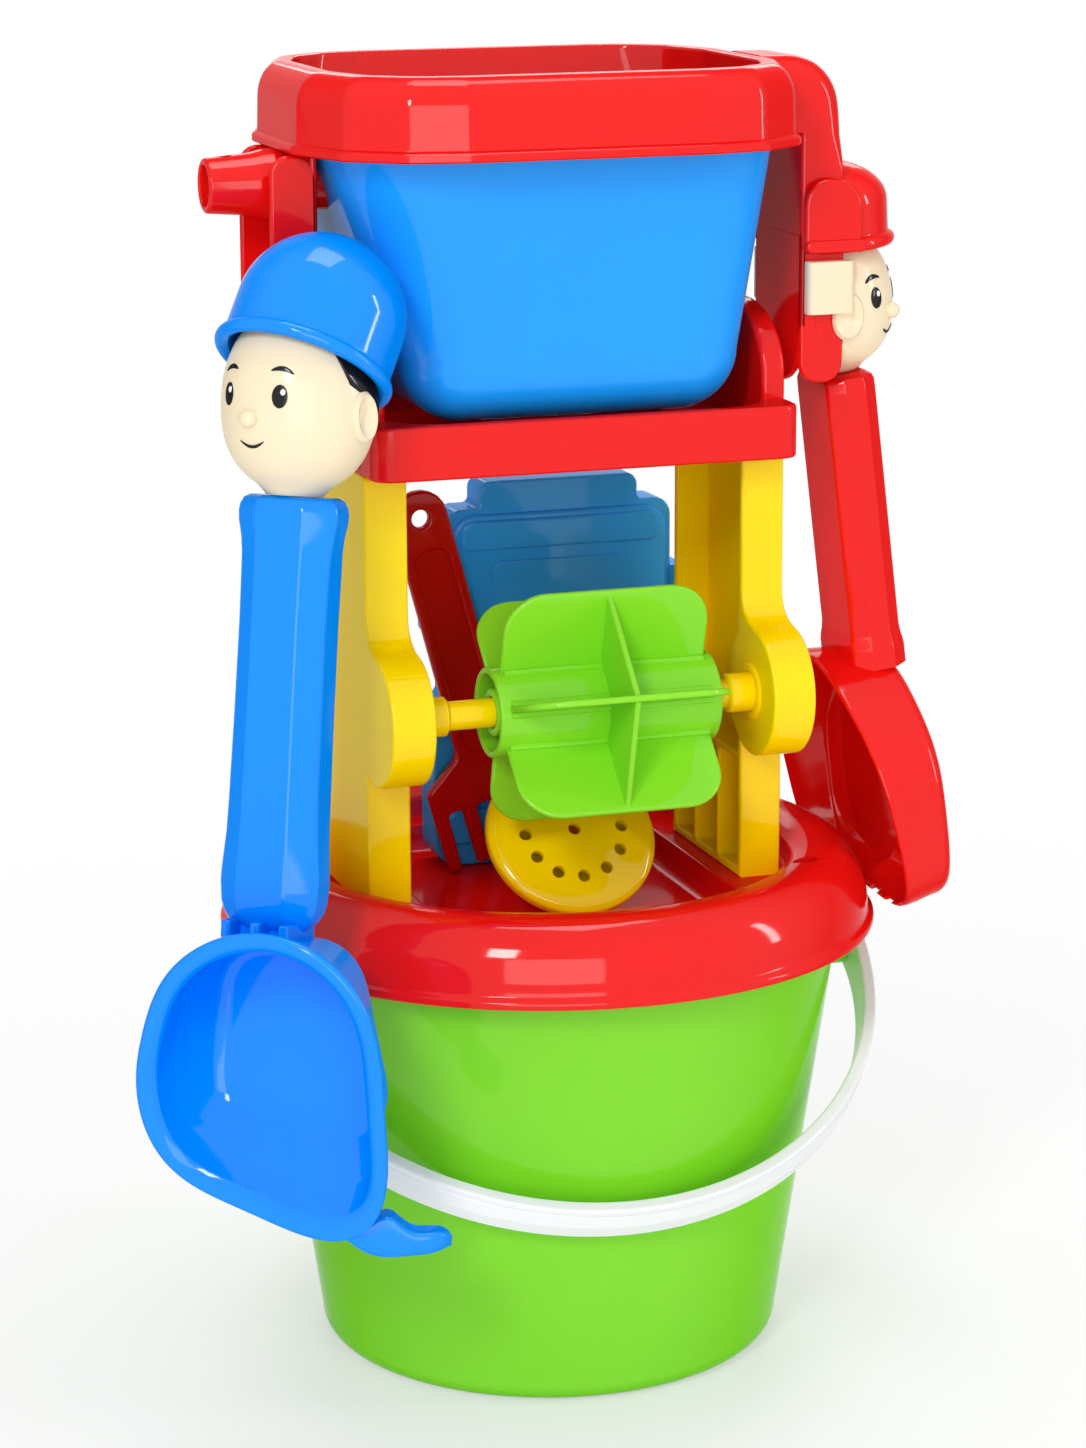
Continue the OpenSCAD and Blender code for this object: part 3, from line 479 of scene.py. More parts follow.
def makeBucket():
    f = named(bucketForm)
    high = nodeBox("bucket")[1]
    rim, top, wall = high.y, high.z, f.wall
    foot, bend = f.footRadius, f.footRound
    profile = [(0, f.underRise), (f.underRadius, f.underRise), (f.underRadius + 2.2, 0.4)]
    profile += [(f.underRadius + 3.4, 0)]
    profile += arc((foot - bend, bend), bend, -90, 0, 14)
    profile += [(blendValue(foot, rim, t / 12), blendValue(bend, top - 1, t / 12)) for t in range(1, 13)]
    profile += arc((rim - wall / 2, top - 1), (wall / 2, 1), 20, 160, 6)
    profile += [(blendValue(rim, foot, t / 12) - wall, blendValue(top - 1, bend, t / 12)) for t in range(1, 13)]
    profile += arc((foot - bend, bend), bend - wall, 0, -90, 12)[1:]
    profile += [(0, wall + f.underRise)]
    bm = bmesh.new()
    addLathe(bm, profile, steps=144)
    reach, edge = high.x, f.earEdge
    start = reach - 22
    ear = [(f.earBore, start), (f.earBore, reach - 0.5), (f.earBore + 0.5, reach)]
    ear += arc((f.earRadius - edge, reach - edge), edge, 90, 0, 5)
    ear += [(f.earRadius, start + 8), (f.earRadius + 1.6, start + 4), (f.earRadius + 1.6, start)]
    for side in (1, -1):
        addLathe(bm, ear, shift(0, 0, top - f.earDrop) @ turn("Y", 90 * side), 48, loop=True)
    settle(finishMesh("bucket_shell", bm, plastics["bucketGreen"]), "bucket", "bucket_green", "bucket")


bailForm = {"radius": 108.0, "hang": 31.0, "discRadius": 9.0, "thick": 4.5, "pegRadius": 3.5,
            "pegLength": 9.0}
# strip section as radial and crosswise corners, with a raised rail along its upper edge
bailSection = [(-2.0, -7.0, 0.9), (1.4, -7.0, 1.2), (2.2, -1.5, 3.0), (1.7, 3.2, 0.6),
               (0.9, 3.9, 0.4), (2.2, 4.6, 0.5), (2.2, 7.0, 0.9), (-2.0, 7.0, 0.9)]


def makeBail():
    f = named(bailForm)
    pivot = nodeBox("bucket")[1].z - bucketForm["earDrop"]
    place = shift(0, 0, pivot) @ turn("X", f.hang)
    outline = softOutline(bailSection, 4)
    bm = bmesh.new()
    rings = []
    for i in range(97):
        angle = pi + pi * i / 96
        swell = 1 + 0.24 * exp(-min(i, 96 - i) / 3.0)  # the strip widens into its end discs
        ring = []
        for p in outline:
            out = f.radius + p.x
            ring.append((out * cos(angle), out * sin(angle), p.y * swell))
        rings.append(ring)
    addSolid(bm, rings, place)
    thick, radius = f.thick, f.discRadius
    disc = [(0, -thick / 2 - f.pegLength), (f.pegRadius - 0.6, -thick / 2 - f.pegLength)]
    disc += [(f.pegRadius, 0.6 - thick / 2 - f.pegLength), (f.pegRadius, -thick / 2)]
    disc += [(radius - 0.8, -thick / 2)] + arc((radius - 1, 0), (1, thick / 2), -60, 60, 6)
    disc += [(radius - 1.6, thick / 2), (radius - 3.4, thick / 2 - 0.9), (0, thick / 2 - 0.9)]
    for side in (1, -1):
        addLathe(bm, disc, place @ turn("Y", 90 * side) @ shift(0, 0, f.radius), 48)
    settle(finishMesh("bucket_handle_strip", bm, plastics["white"]), "bail", "white", "bucket_handle")


makeBucket()
makeBail()
print("bucket and handle made")


# Mill: base ring with tray, posts, axle, wheel, funnel

baseForm = {"bodyRadius": 106.0, "crestRadius": 92.0, "recessRadius": 79.5, "deck": 157.8, "lipThick": 3.2,
            "wall": 3.0, "wellX": 50.0, "wellY": 68.0, "wellRound": 25.0, "wellFloor": 148.0,
            "floorFillet": 5.0, "seat": 160.3, "collarHeight": 7.5, "collarWall": 2.2, "hole": (70.3, -52.7),
            "holeRadius": 4.0}
postForm = {"wall": 2.8, "ribHalf": 1.1, "ribAt": 10.5, "bossRadius": 21.0, "bossRise": 23.5, "edge": 1.0,
            "swell": 9.0, "slatDrop": 25.0}


def wellRing(grow, z, count=192):
    # ring round the tray well, sampled along the same rays as the round ring above it
    f = named(baseForm)
    halfX, halfY, radius = f.wellX + grow, f.wellY + grow, f.wellRound + grow
    px, py = halfX - radius, halfY - radius
    ring = []
    for rayX, rayY in spokes(count):
        c, s = abs(rayX), abs(rayY)
        along = c * px + s * py
        reach = along + sqrt(max(0, along * along - px * px - py * py + radius * radius))
        if c > 0.001 and halfX / c * s <= py:
            reach = halfX / c
        elif s > 0.001 and halfY / s * c <= px:
            reach = halfY / s
        ring.append((reach * rayX, reach * rayY, z))
    return ring


def roundRing(radius, z, count=192):
    return [(radius * c, radius * s, z) for c, s in spokes(count)]


def makeBase():
    f = named(baseForm)
    low, high = nodeBox("mill_base")
    lip, foot, crest, deck = high.x, low.z, high.z, f.deck
    bodyFoot = foot + f.lipThick + 1.2
    edge = crest - 5.5
    profile = [(lip - 1.2, foot), (lip - 0.3, foot + 0.3), (lip, foot + 1), (lip, foot + 2.2),
               (lip - 0.4, foot + 2.9)]
    profile += [(f.bodyRadius + 0.5, bodyFoot - 0.9)]
    profile += arc((f.crestRadius, bodyFoot), (f.bodyRadius - f.crestRadius, crest - bodyFoot), 0, 90, 22)
    profile += arc((f.crestRadius, edge), (f.crestRadius - f.recessRadius, crest - edge), 95, 180, 14)
    recess = f.recessRadius
    profile += [(recess - 0.1, deck + 2), (recess - 0.6, deck + 0.6), (recess - 2, deck)]
    rings = [roundRing(r, z) for r, z in profile]
    rings += [wellRing(1.6, deck), wellRing(0.5, deck - 0.4), wellRing(0, deck - 1.6)]
    fillet, floor = f.floorFillet, f.wellFloor
    rings += [wellRing(x, z) for x, z in arc((-fillet, floor + fillet), fillet, 0, -90, 8)]
    rings += [wellRing(-fillet - 14, floor)]
    bm = bmesh.new()
    wall = f.wall
    under = [wellRing(-10, floor - wall), wellRing(wall - 1, floor - wall), wellRing(wall, floor - wall + 1)]
    under += [wellRing(wall, deck - wall), roundRing(f.recessRadius + wall, deck - wall)]
    under += [roundRing(f.bodyRadius - 12.5, f.seat), roundRing(f.bodyRadius - 5, f.seat)]
    under += [roundRing(f.bodyRadius - wall, foot + 6), roundRing(lip - wall, foot)]
    addSolid(bm, under + rings)
    # collars round the feet of the posts
    postLow, postHigh = nodeBox("right_post")
    mid, half = (postLow.x + postHigh.x) / 2, (postHigh.x - postLow.x) / 2
    depth, grow = postHigh.y, f.collarWall
    top = deck + f.collarHeight
    for side in (1, -1):
        levels = [(grow + 1.4, deck - 1), (grow + 0.5, deck + 0.4), (grow, deck + 1.6), (grow - 0.2, top - 0.9)]
        levels += [(grow - 0.8, top), (0.5, top), (0.05, top - 0.4), (0.05, deck - 1)]
        rings = [boxRing(half + g, depth + g, max(0.6, 1.4 + g), z, 5, (side * mid, 0)) for g, z in levels]
        addLoft(bm, rings, loop=True)
    # low fins across the tray floor
    for x in (-24, 24):
        addPlate(bm, rectOutline(x - 1, -50, x + 1, 36, 0.8, 3), floor - 1, floor + 3.5, 0.7)
    base = finishMesh("mill_base_tray", bm, plastics["red"], smooth=38)
    holeX, holeY = f.hole
    cutOut(base, [drill(f.holeRadius, (holeX, holeY, f.seat - 8), (0, 0, 1), 30)], 38)
    settle(base, "mill", "red", "mill_base")


def postOutline(low, high, axle):
    f = named(postForm)
    depth, reach = high.y, -high.y - axle.y
    start = -degrees(acos(reach / f.bossRadius))
    away = degrees(atan2(f.bossRise, reach))
    tangent = degrees(acos(f.bossRadius / hypot(reach, f.bossRise)))
    outline = [Vector((-depth, low.z))]
    outline += path(arc((axle.y, axle.z), f.bossRadius, start, away + tangent - 360, 40))
    # the boss swells out of the post's front in a soft curve
    corner = Vector((-depth, axle.z + f.bossRise))
    first = corner + (outline[-1] - corner).normalized() * f.swell
    last = corner + Vector((0, f.swell))
    outline += [first.lerp(corner, t / 8).lerp(corner.lerp(last, t / 8), t / 8) for t in range(9)]
    outline += path(arc((2 - depth, high.z - 2), 2, 180, 90, 4))
    outline += path(arc((depth - 2, high.z - 2), 2, 90, 0, 4))
    outline += [Vector((depth, low.z))]
    return list(reversed(outline))


def makePosts():
    f = named(postForm)
    axleLow, axleHigh = nodeBox("axle")
    axle = (axleLow + axleHigh) / 2
    for node, side in (("left_post", -1), ("right_post", 1)):
        low, high = nodeBox(node)
        high.z = nodeBox("funnel")[0].z  # the tongue above is hidden in the funnel
        wide, inner, wall = high.x - low.x, high.y - f.wall, f.wall
        foot, top = low.z + wall, high.z - wall
        bite = degrees(acos((-inner - axle.y) / f.bossRadius))
        rib, at = f.ribHalf, f.ribAt
        # slats in the lower part, one plain recess above them
        slats = axle.z - f.slatDrop
        upper = path([(-inner, slats + 2 * rib), (inner, slats + 2 * rib), (inner, top), (-inner, top)])
        upper += path(arc((axle.y, axle.z), f.bossRadius, bite, -bite, 16))
        lower = [rectOutline(y0, foot, y1, slats, 2)
                 for y0, y1 in ((-inner, -at - rib), (rib - at, at - rib), (at + rib, inner))]
        place = facingX(-side, side * max(abs(low.x), abs(high.x)))
        bm = bmesh.new()
        addPlate(bm, postOutline(low, high, axle), 0, wide, f.edge, place,
                 pockets=[(p, wall) for p in (upper, *lower)])
        # a shallow ring round the axle seat
        ring = [(6.4, wide - 1), (6.4, wide + 0.5), (7, wide + 0.9), (8.6, wide + 0.9), (9.2, wide + 0.5),
                (9.2, wide - 1)]
        addLathe(bm, ring, place @ shift(axle.y, axle.z, 0), 48, loop=True)
        settle(finishMesh(node + "_channel", bm, plastics["yellow"]), "mill", "yellow", node)


axleForm = {"collarRadius": 6.3, "collarLength": 9.0, "edge": 0.6}


def makeAxle():
    f = named(axleForm)
    low, high = nodeBox("axle")
    radius, half, edge = (high.z - low.z) / 2, high.x, f.edge
    post = nodeBox("right_post")[0].x
    inner = post - f.collarLength
    side = [(radius, inner - 0.4), (f.collarRadius - edge, inner), (f.collarRadius, inner + edge)]
    side += [(f.collarRadius, post + 1), (radius, post + 1), (radius, half - edge), (radius - edge, half),
             (0, half)]
    profile = [(r, -x) for r, x in reversed(side)] + side
    bm = bmesh.new()
    addLathe(bm, profile, shift(0, (low.y + high.y) / 2, (low.z + high.z) / 2) @ turn("Y", 90), 48)
    settle(finishMesh("axle_bar", bm, plastics["yellow"]), "mill", "yellow", "axle")


wheelForm = {"turn": 15.0, "blades": 6, "radius": 40.5, "bladeHalf": 34.0, "bladeThick": 2.2, "corner": 14.0,
             "hubRadius": 14.5, "hubWall": 2.2, "bore": 5.0, "tubeWall": 2.6, "webThick": 2.0,
             "webRadius": 39.5}


def makeWheel():
    f = named(wheelForm)
    low, high = nodeBox("paddle_wheel")
    half, middle = (high.x - low.x) / 2, (low.x + high.x) / 2
    axleLow, axleHigh = nodeBox("axle")
    place = shift(middle, (axleLow.y + axleHigh.y) / 2, (axleLow.z + axleHigh.z) / 2) @ turn("X", f.turn)
    bm = bmesh.new()
    for outer, inner, reach in ((f.hubRadius, f.hubRadius - f.hubWall, half),
                                (f.bore + f.tubeWall, f.bore, half - 1)):
        edge = 0.8
        tube = arc((outer - edge, reach - edge), edge, 0, 90, 4)
        tube += arc((inner + edge, reach - edge), edge, 90, 180, 4)
        tube += [(r, -x) for r, x in reversed(tube)]
        addLathe(bm, tube, place @ turn("Y", 90), 72, loop=True)
    x, corner, root, tip = f.bladeHalf, f.corner, f.hubRadius - 1.2, f.radius
    blade = softOutline([(-x, root, 0), (x, root, 0), (x, tip, corner), (-x, tip, corner)], 10)
    thick = f.bladeThick / 2
    for i in range(f.blades):
        spin = place @ turn("X", 360 / f.blades * i)
        addPlate(bm, blade, -thick, thick, 0.9, spin @ facingY(-1, 0))
        # a bead where the blade meets the hub
        for y in (-thick - 0.5, thick + 0.5):
            bar = arc((y, f.hubRadius - 0.2), 1.2, 0, 360, 10)[:-1]
            addSolid(bm, [[(e, a, b) for a, b in bar] for e in (-x + 0.6, x - 0.6)], spin)
    web = path(arc((0, 0), f.webRadius, 90, 450, f.blades)[:-1])
    addPlate(bm, web, -f.webThick / 2, f.webThick / 2, 0.7, place @ turn("Y", 90) @ turn("Z", 90))
    wheel = finishMesh("paddle_wheel_blades", bm, plastics["wheelGreen"])
    settle(wheel, "wheel", "wheel_green", "paddle_wheel")


funnelForm = {"corner": 7.0, "wallHeight": 17.0, "topWidth": 3.2, "endThick": 8.0, "outlet": 9.0,
              "outletAt": (4.0, -16.0), "archFoot": 31.5, "archRise": 25.0, "wall": 3.0, "ribX": 30.0,
              "ribTop": 14.0, "ribHalf": 1.5, "edge": 1.4, "hopperRound": 17.0, "hopperDrop": 9.0,
              "hopperUnder": 11.5}


def makeFunnel():
    f = named(funnelForm)
    low, high = nodeBox("funnel")
    x, y, foot, corner = high.x, high.y, low.z, f.corner
    top, edge, wall = foot + f.wallHeight, f.edge, f.wall
    endX = x - f.endThick
    levels = [(-wall, foot + 0.4), (-wall + 0.4, foot), (-0.5, foot), (0, foot + 0.6)]
    levels += [(-edge * (1 - cos(a)), top - edge * (1 - sin(a))) for a in [pi / 12 * k for k in range(7)]]
    rings = [boxRing(x + g, y + g, corner + g, z) for g, z in levels]
    inner = f.topWidth
    rings += [boxRing(endX, y - inner, f.hopperRound, top)]
    rings += [boxRing(endX - 0.3, y - inner - 0.3, f.hopperRound - 0.3, top - f.hopperDrop)]
    for grow, radius, z in ((0, 3, foot + 0.4), (1.4, 4, foot), (3, 5, foot + 0.2)):
        rings.append(boxRing(f.outlet + grow, f.outlet + grow, radius, z, centre=f.outletAt))
    rings += [boxRing(endX - 6, y - inner - 5, f.hopperRound - 2, top - f.hopperUnder)]
    rings += [boxRing(x - wall, y - wall, corner - wall, top - f.hopperUnder + 0.5)]
    bm = bmesh.new()
    addLoft(bm, rings, loop=True)
    rise = foot + f.archRise
    arch = [Vector((-f.archFoot, foot + 0.5)), Vector((f.archFoot, foot + 0.5))]
    arch += path(arc((0, rise), (f.archFoot, high.z - rise), 0, 180, 28))
    for side in (1, -1):
        place = facingX(side, side * endX)
        addPlate(bm, arch, 0, f.endThick, 1.8, place, steps=4)
        ribPlace = facingX(1, side * f.ribX - f.ribHalf)
        rib = rectOutline(-y + 3, foot + 2, y - 3, foot + f.ribTop, 1.5, 3)
        addPlate(bm, rib, 0, 2 * f.ribHalf, 0.7, ribPlace)
    settle(finishMesh("funnel_shell", bm, plastics["red"]), "mill", "red", "funnel")


makeBase()
makePosts()
makeAxle()
makeWheel()
makeFunnel()
print("mill made")


# Watering can: tub, rim, arms and spout

tubForm = {"footX": 56.0, "footY": 42.0, "footRound": 20.0, "topX": 72.5, "topY": 50.0, "topRound": 26.0,
           "wall": 2.2, "topShift": -6.5}
rimForm = {"halfX": 81.0, "halfY": 66.0, "corner": 42.0, "lip": 1.8, "shoulder": 11.0, "top": 11.5,
           "shift": -6.5}
armForm = {"width": 40.0, "wall": 2.6, "footCorner": 7.0, "edge": 1.1, "back": 80.0, "rootX": 68.5,
           "rootZ": 398.2, "bend": 17.0, "outerRound": 9.0, "innerRound": 1.5, "solidDrop": 62.0}
spoutForm = {"bore": 6.5, "tipRadius": 8.6, "rootRadius": 10.2, "drop": 10.8, "tail": 66.0, "ventRadius": 2.0,
             "ventBack": 7.0}


def makeTub():
    f = named(tubForm)
    low, top = nodeBox("can_floor")[0].z, nodeBox("can_rim")[0].z
    bend = f.footRound

    def side(inset):
        rings = []
        for k in range(11):
            angle = pi / 2 * k / 10
            grow = (bend - inset) * sin(angle)
            rings.append((f.footX - bend + grow, f.footY - bend + grow, max(grow, 0.2),
                          low + bend - (bend - inset) * cos(angle), 0))
        x0, y0, r0, z0, m0 = rings[-1]
        for k in range(1, 7):
            t = k / 6
            rings.append((blendValue(x0, f.topX - inset, t), blendValue(y0, f.topY - inset, t),
                          blendValue(r0, f.topRound - inset, t), blendValue(z0, top, t),
                          blendValue(m0, f.topShift, t)))
        return [boxRing(x, y, r, z, 12, (m, 0)) for x, y, r, z, m in rings]

    bm = bmesh.new()
    addSolid(bm, side(0) + list(reversed(side(f.wall))))
    tub = finishMesh("can_tub_shell", bm, plastics["canBlue"], smooth=40)
    cutOut(tub, [drill(spoutForm["tipRadius"] + 0.1, (-84, 0, top - spoutForm["drop"]), (1, 0, 0), 30)], 40)
    settle(tub, "can", "can_blue", "can_floor", "can_front", "can_back", "can_left", "can_right")


def makeRim():
    f, tub = named(rimForm), tubForm
    low, high = nodeBox("can_rim")
    foot, top, lip = low.z, high.z, f.lip
    levels = [(lip - 0.5, foot), (lip, foot + 0.5), (lip, foot + 2.3), (lip - 0.5, foot + 2.9),
              (0.2, foot + 3.5), (0, foot + 4.2)]
    shoulder = top - f.shoulder
    levels += [(-0.3, shoulder)]
    levels += [(x - 8.3, z) for x, z in arc((0, shoulder), (8, top - shoulder), 8, 90, 12)]
    levels += [(-f.top + 0.8, top), (-f.top + 0.1, top - 0.3), (-f.top - 0.3, top - 1.2)]
    centre = (f.shift, 0)
    rings = [facetRing(f.halfX + g, f.halfY + g, f.corner + g, z, centre) for g, z in levels]
    mouthX, mouthY, mouthRound = [tub[k] - tub["wall"] - 0.1 for k in ("topX", "topY", "topRound")]
    rings += [facetRing(mouthX, mouthY, mouthRound, foot + 0.6, centre),
              facetRing(mouthX + 0.8, mouthY + 0.8, mouthRound, foot, centre)]
    bm = bmesh.new()
    addLoft(bm, rings, loop=True)
    settle(finishMesh("can_rim_collar", bm, plastics["red"], smooth=30), "can", "red", "can_rim")


def addArm(bm, side, low, high, elbow):
    # a channel arm, open outwards: two cheeks and a web with a round foot
    f = named(armForm)
    half, wall, edge = f.width / 2, f.wall, f.edge
    depth = high.x - low.x
    cheek = softOutline([(0, low.z + 2, 6), (depth, low.z + 0.4, f.footCorner), (depth, high.z, elbow[0]),
                         (0, high.z, elbow[1])], 10)
    for y in (-half, half - wall):
        place = facingY(1, y, side * low.x, across=side)
        addPlate(bm, cheek, 0, wall, edge, place)
    web = path(arc((0, low.z + half), half, 180, 360, 28))
    web += [Vector((half, high.z - 1)), Vector((-half, high.z - 1))]
    place = facingX(side, side * low.x)
    addPlate(bm, web, 0, wall, edge, place)


def makeHandleArm():
    f = named(armForm)
    low, high = nodeBox("can_handle")
    half, top = f.width / 2, high.z
    low.x = f.back
    bm = bmesh.new()
    drop, bend = f.solidDrop, f.bend
    addArm(bm, 1, low, Vector((high.x, high.y, top - drop + 7)), (3, 1))
    # the shoulder, carried from the rim over a bend and down: flat inside, well rounded outside
    back = f.back - 0.05
    soft = f.outerRound
    stations = [((f.rootX, top), (f.rootX, f.rootZ), half, soft)]
    bendAt = (high.x - bend, top - bend)
    for k, outer in enumerate(arc(bendAt, bend, 90, 0, 10)):
        inner = (blendValue(bendAt[0], back, min(1, k / 4)), f.rootZ - 0.1 * max(0, k - 4))
        stations.append((outer, inner, half, soft))
    # the edges square up where the cap closes round the arm
    for down, share in ((26, 0.7), (31, 0.45), (36, 0.22), (drop - 10, 0.22)):
        stations.append(((high.x, top - down), (back, top - down), half, soft * share))
    stations.append(((high.x - 0.2, top - drop), (back + 0.3, top - drop), half - 0.2, soft * 0.22))
    rings = []
    for outer, inner, reach, soft in stations:
        outer, inner = Vector(outer), Vector(inner)
        deep = (outer - inner).length
        along = (outer - inner) / deep
        section = softOutline([(0, -reach, f.innerRound), (deep, -reach, soft), (deep, reach, soft),
                               (0, reach, f.innerRound)], 8)
        rings.append([(inner.x + along.x * p.x, p.y, inner.y + along.y * p.x) for p in section])
    addSolid(bm, rings)
    settle(finishMesh("can_handle_arm", bm, plastics["red"], smooth=40), "can", "red", "can_handle")


def makeSpoutArm():
    f = named(spoutForm)
    low, high = nodeBox("can_spout")
    inner = armForm["back"]
    outer = nodeBox("can_handle")[1].x
    armLow, armHigh = Vector((inner, low.y, low.z)), Vector((outer, high.y, high.z - 0.4))
    bm = bmesh.new()
    addArm(bm, -1, armLow, armHigh, (6, 13))
    spoutZ = nodeBox("can_rim")[0].z - f.drop
    tip, root = -low.x, inner
    pipe = [(f.bore, f.tail), (f.tipRadius, f.tail), (f.tipRadius, root), (f.rootRadius + 1.2, root + 2)]
    pipe += [(f.rootRadius + 0.4, outer - 2), (f.rootRadius - 0.5, outer + 1.5)]
    pipe += arc((f.tipRadius - 1, tip - 1), 1, 0, 90, 5) + arc((f.bore + 0.6, tip - 0.6), 0.6, 90, 180, 4)
    addLathe(bm, pipe, shift(0, 0, spoutZ) @ turn("Y", -90), 64, loop=True)
    spout = finishMesh("can_spout_arm", bm, plastics["red"], smooth=40)
    cutOut(spout, [drill(f.ventRadius, (f.ventBack - tip, 0, spoutZ + f.bore - 1), (0, 0, 1), 10)], 40)
    settle(spout, "can", "red", "can_spout")


makeTub()
makeRim()
makeHandleArm()
makeSpoutArm()
print("watering can made")


# Sprinkler rose in the tray

roseForm = {"radius": 28.5, "edge": 5.0, "swell": 3.0, "neck": 17.0, "neckBore": 8.95, "wall": 1.8,
            "lean": 40.0, "place": (4.0, -14.0), "holes": 12, "holeRadius": 2.1, "holeRing": 16.5}


def makeRose():
    f = named(roseForm)
    low = nodeBox("sprinkler_rose")[0]
    lean = radians(f.lean)
    centre = low.z + f.radius * cos(lean) + f.edge * sin(lean)
    place = shift(f.place[0], f.place[1], centre) @ turn("X", 90 - f.lean)
    radius, edge, wall, neck = f.radius, f.edge, f.wall, f.neckBore + f.wall
    profile = [(radius * t / 14, f.swell * (1 - (t / 14) ** 2)) for t in range(14)]
    profile += arc((radius - 1.6, -1.8), 1.6, 70, 0, 5) + [(radius, 1 - edge)]
    profile += [(radius - 0.8, -edge), (neck + 2, -edge - 3.8), (neck, -edge - 6), (neck, 0.5 - edge - f.neck)]
    profile += [(neck - 0.5, -edge - f.neck), (f.neckBore, -edge - f.neck), (f.neckBore, wall - edge - 5)]
    profile += [(radius - wall, wall - edge), (radius - wall, -wall - 0.6),
                (radius / 2, f.swell * 0.75 - wall), (0, f.swell - wall)]
    bm = bmesh.new()
    addLathe(bm, profile, place, 96)
    rose = finishMesh("sprinkler_rose_disc", bm, plastics["yellow"], smooth=40)
    spots = [(0.0, 0.0)] + arc((0, 0), f.holeRing, 0, 360, f.holes)[:-1]
    aim = place.to_3x3() @ Vector((0, 0, 1))
    cutters = [drill(f.holeRadius, place @ Vector((x, y, -wall - 2)), aim, 9, 24) for x, y in spots]
    cutOut(rose, cutters, 40)
    settle(rose, "rose", "yellow", "sprinkler_rose")


makeRose()
print("sprinkler rose made")


# Doll heads and caps, shared by the scoop and the shovel. The face looks along +X

def headRadius(z, radius, height):
    # outline of the head: a full crown and a softer chin
    middle = 0.5 * height
    if z >= middle:
        return radius * sqrt(max(0, 1 - ((z - middle) / (height - middle)) ** 2))
    drop = (middle - z) / middle
    chin, power = 0.9, 2.6
    if drop < chin:
        return radius * (1 - drop ** power) ** 0.5
    return radius * (1 - chin ** power) ** 0.5 * (1 - (drop - chin) * 2.5)


def headPoint(angle, z, radius, height, lift=0.0):
    # a point on the head at an angle in degrees from the face's middle
    around = radians(angle)
    out = headRadius(z, radius, height) + lift
    return Vector((out * cos(around), out * sin(around), z))


def addFacePatch(bm, radius, height, centre, size, place, lift, tilt=0.0, steps=40, bend=0.0):
    # an oval print on the head, slightly raised, its edge sunk into the skin
    angle, z = centre
    perDegree = radius * pi / 180
    rings = []
    for share, rise in ((0.02, lift), (0.4, lift), (0.8, lift), (0.94, lift * 0.8), (1.0, -0.25)):
        ring = []
        for i in range(steps):
            t = 2 * pi * i / steps
            u, v = share * size[0] * cos(t), share * size[1] * sin(t)
            v += bend * (u / size[0]) ** 2
            a = radians(tilt)
            across, up = u * cos(a) - v * sin(a), u * sin(a) + v * cos(a)
            ring.append(headPoint(angle + across / perDegree, z + up, radius, height, rise))
        rings.append(ring)
    addLoft(bm, rings, place, capStart=True)


faceForm = {"eyeAngle": 24.0, "eyeZ": 0.50, "eye": (2.5, 3.6), "glint": (0.8, 1.0), "browZ": 0.64,
            "brow": (3.8, 0.75), "browBend": -1.2, "mouthZ": 0.24, "mouth": (5.0, 0.5), "mouthBend": 1.9,
            "noseZ": 0.38, "nose": (2.6, 3.0, 2.6), "earZ": 0.42, "ear": 6.8, "hairFrom": 62.0,
            "hairDip": 0.17}


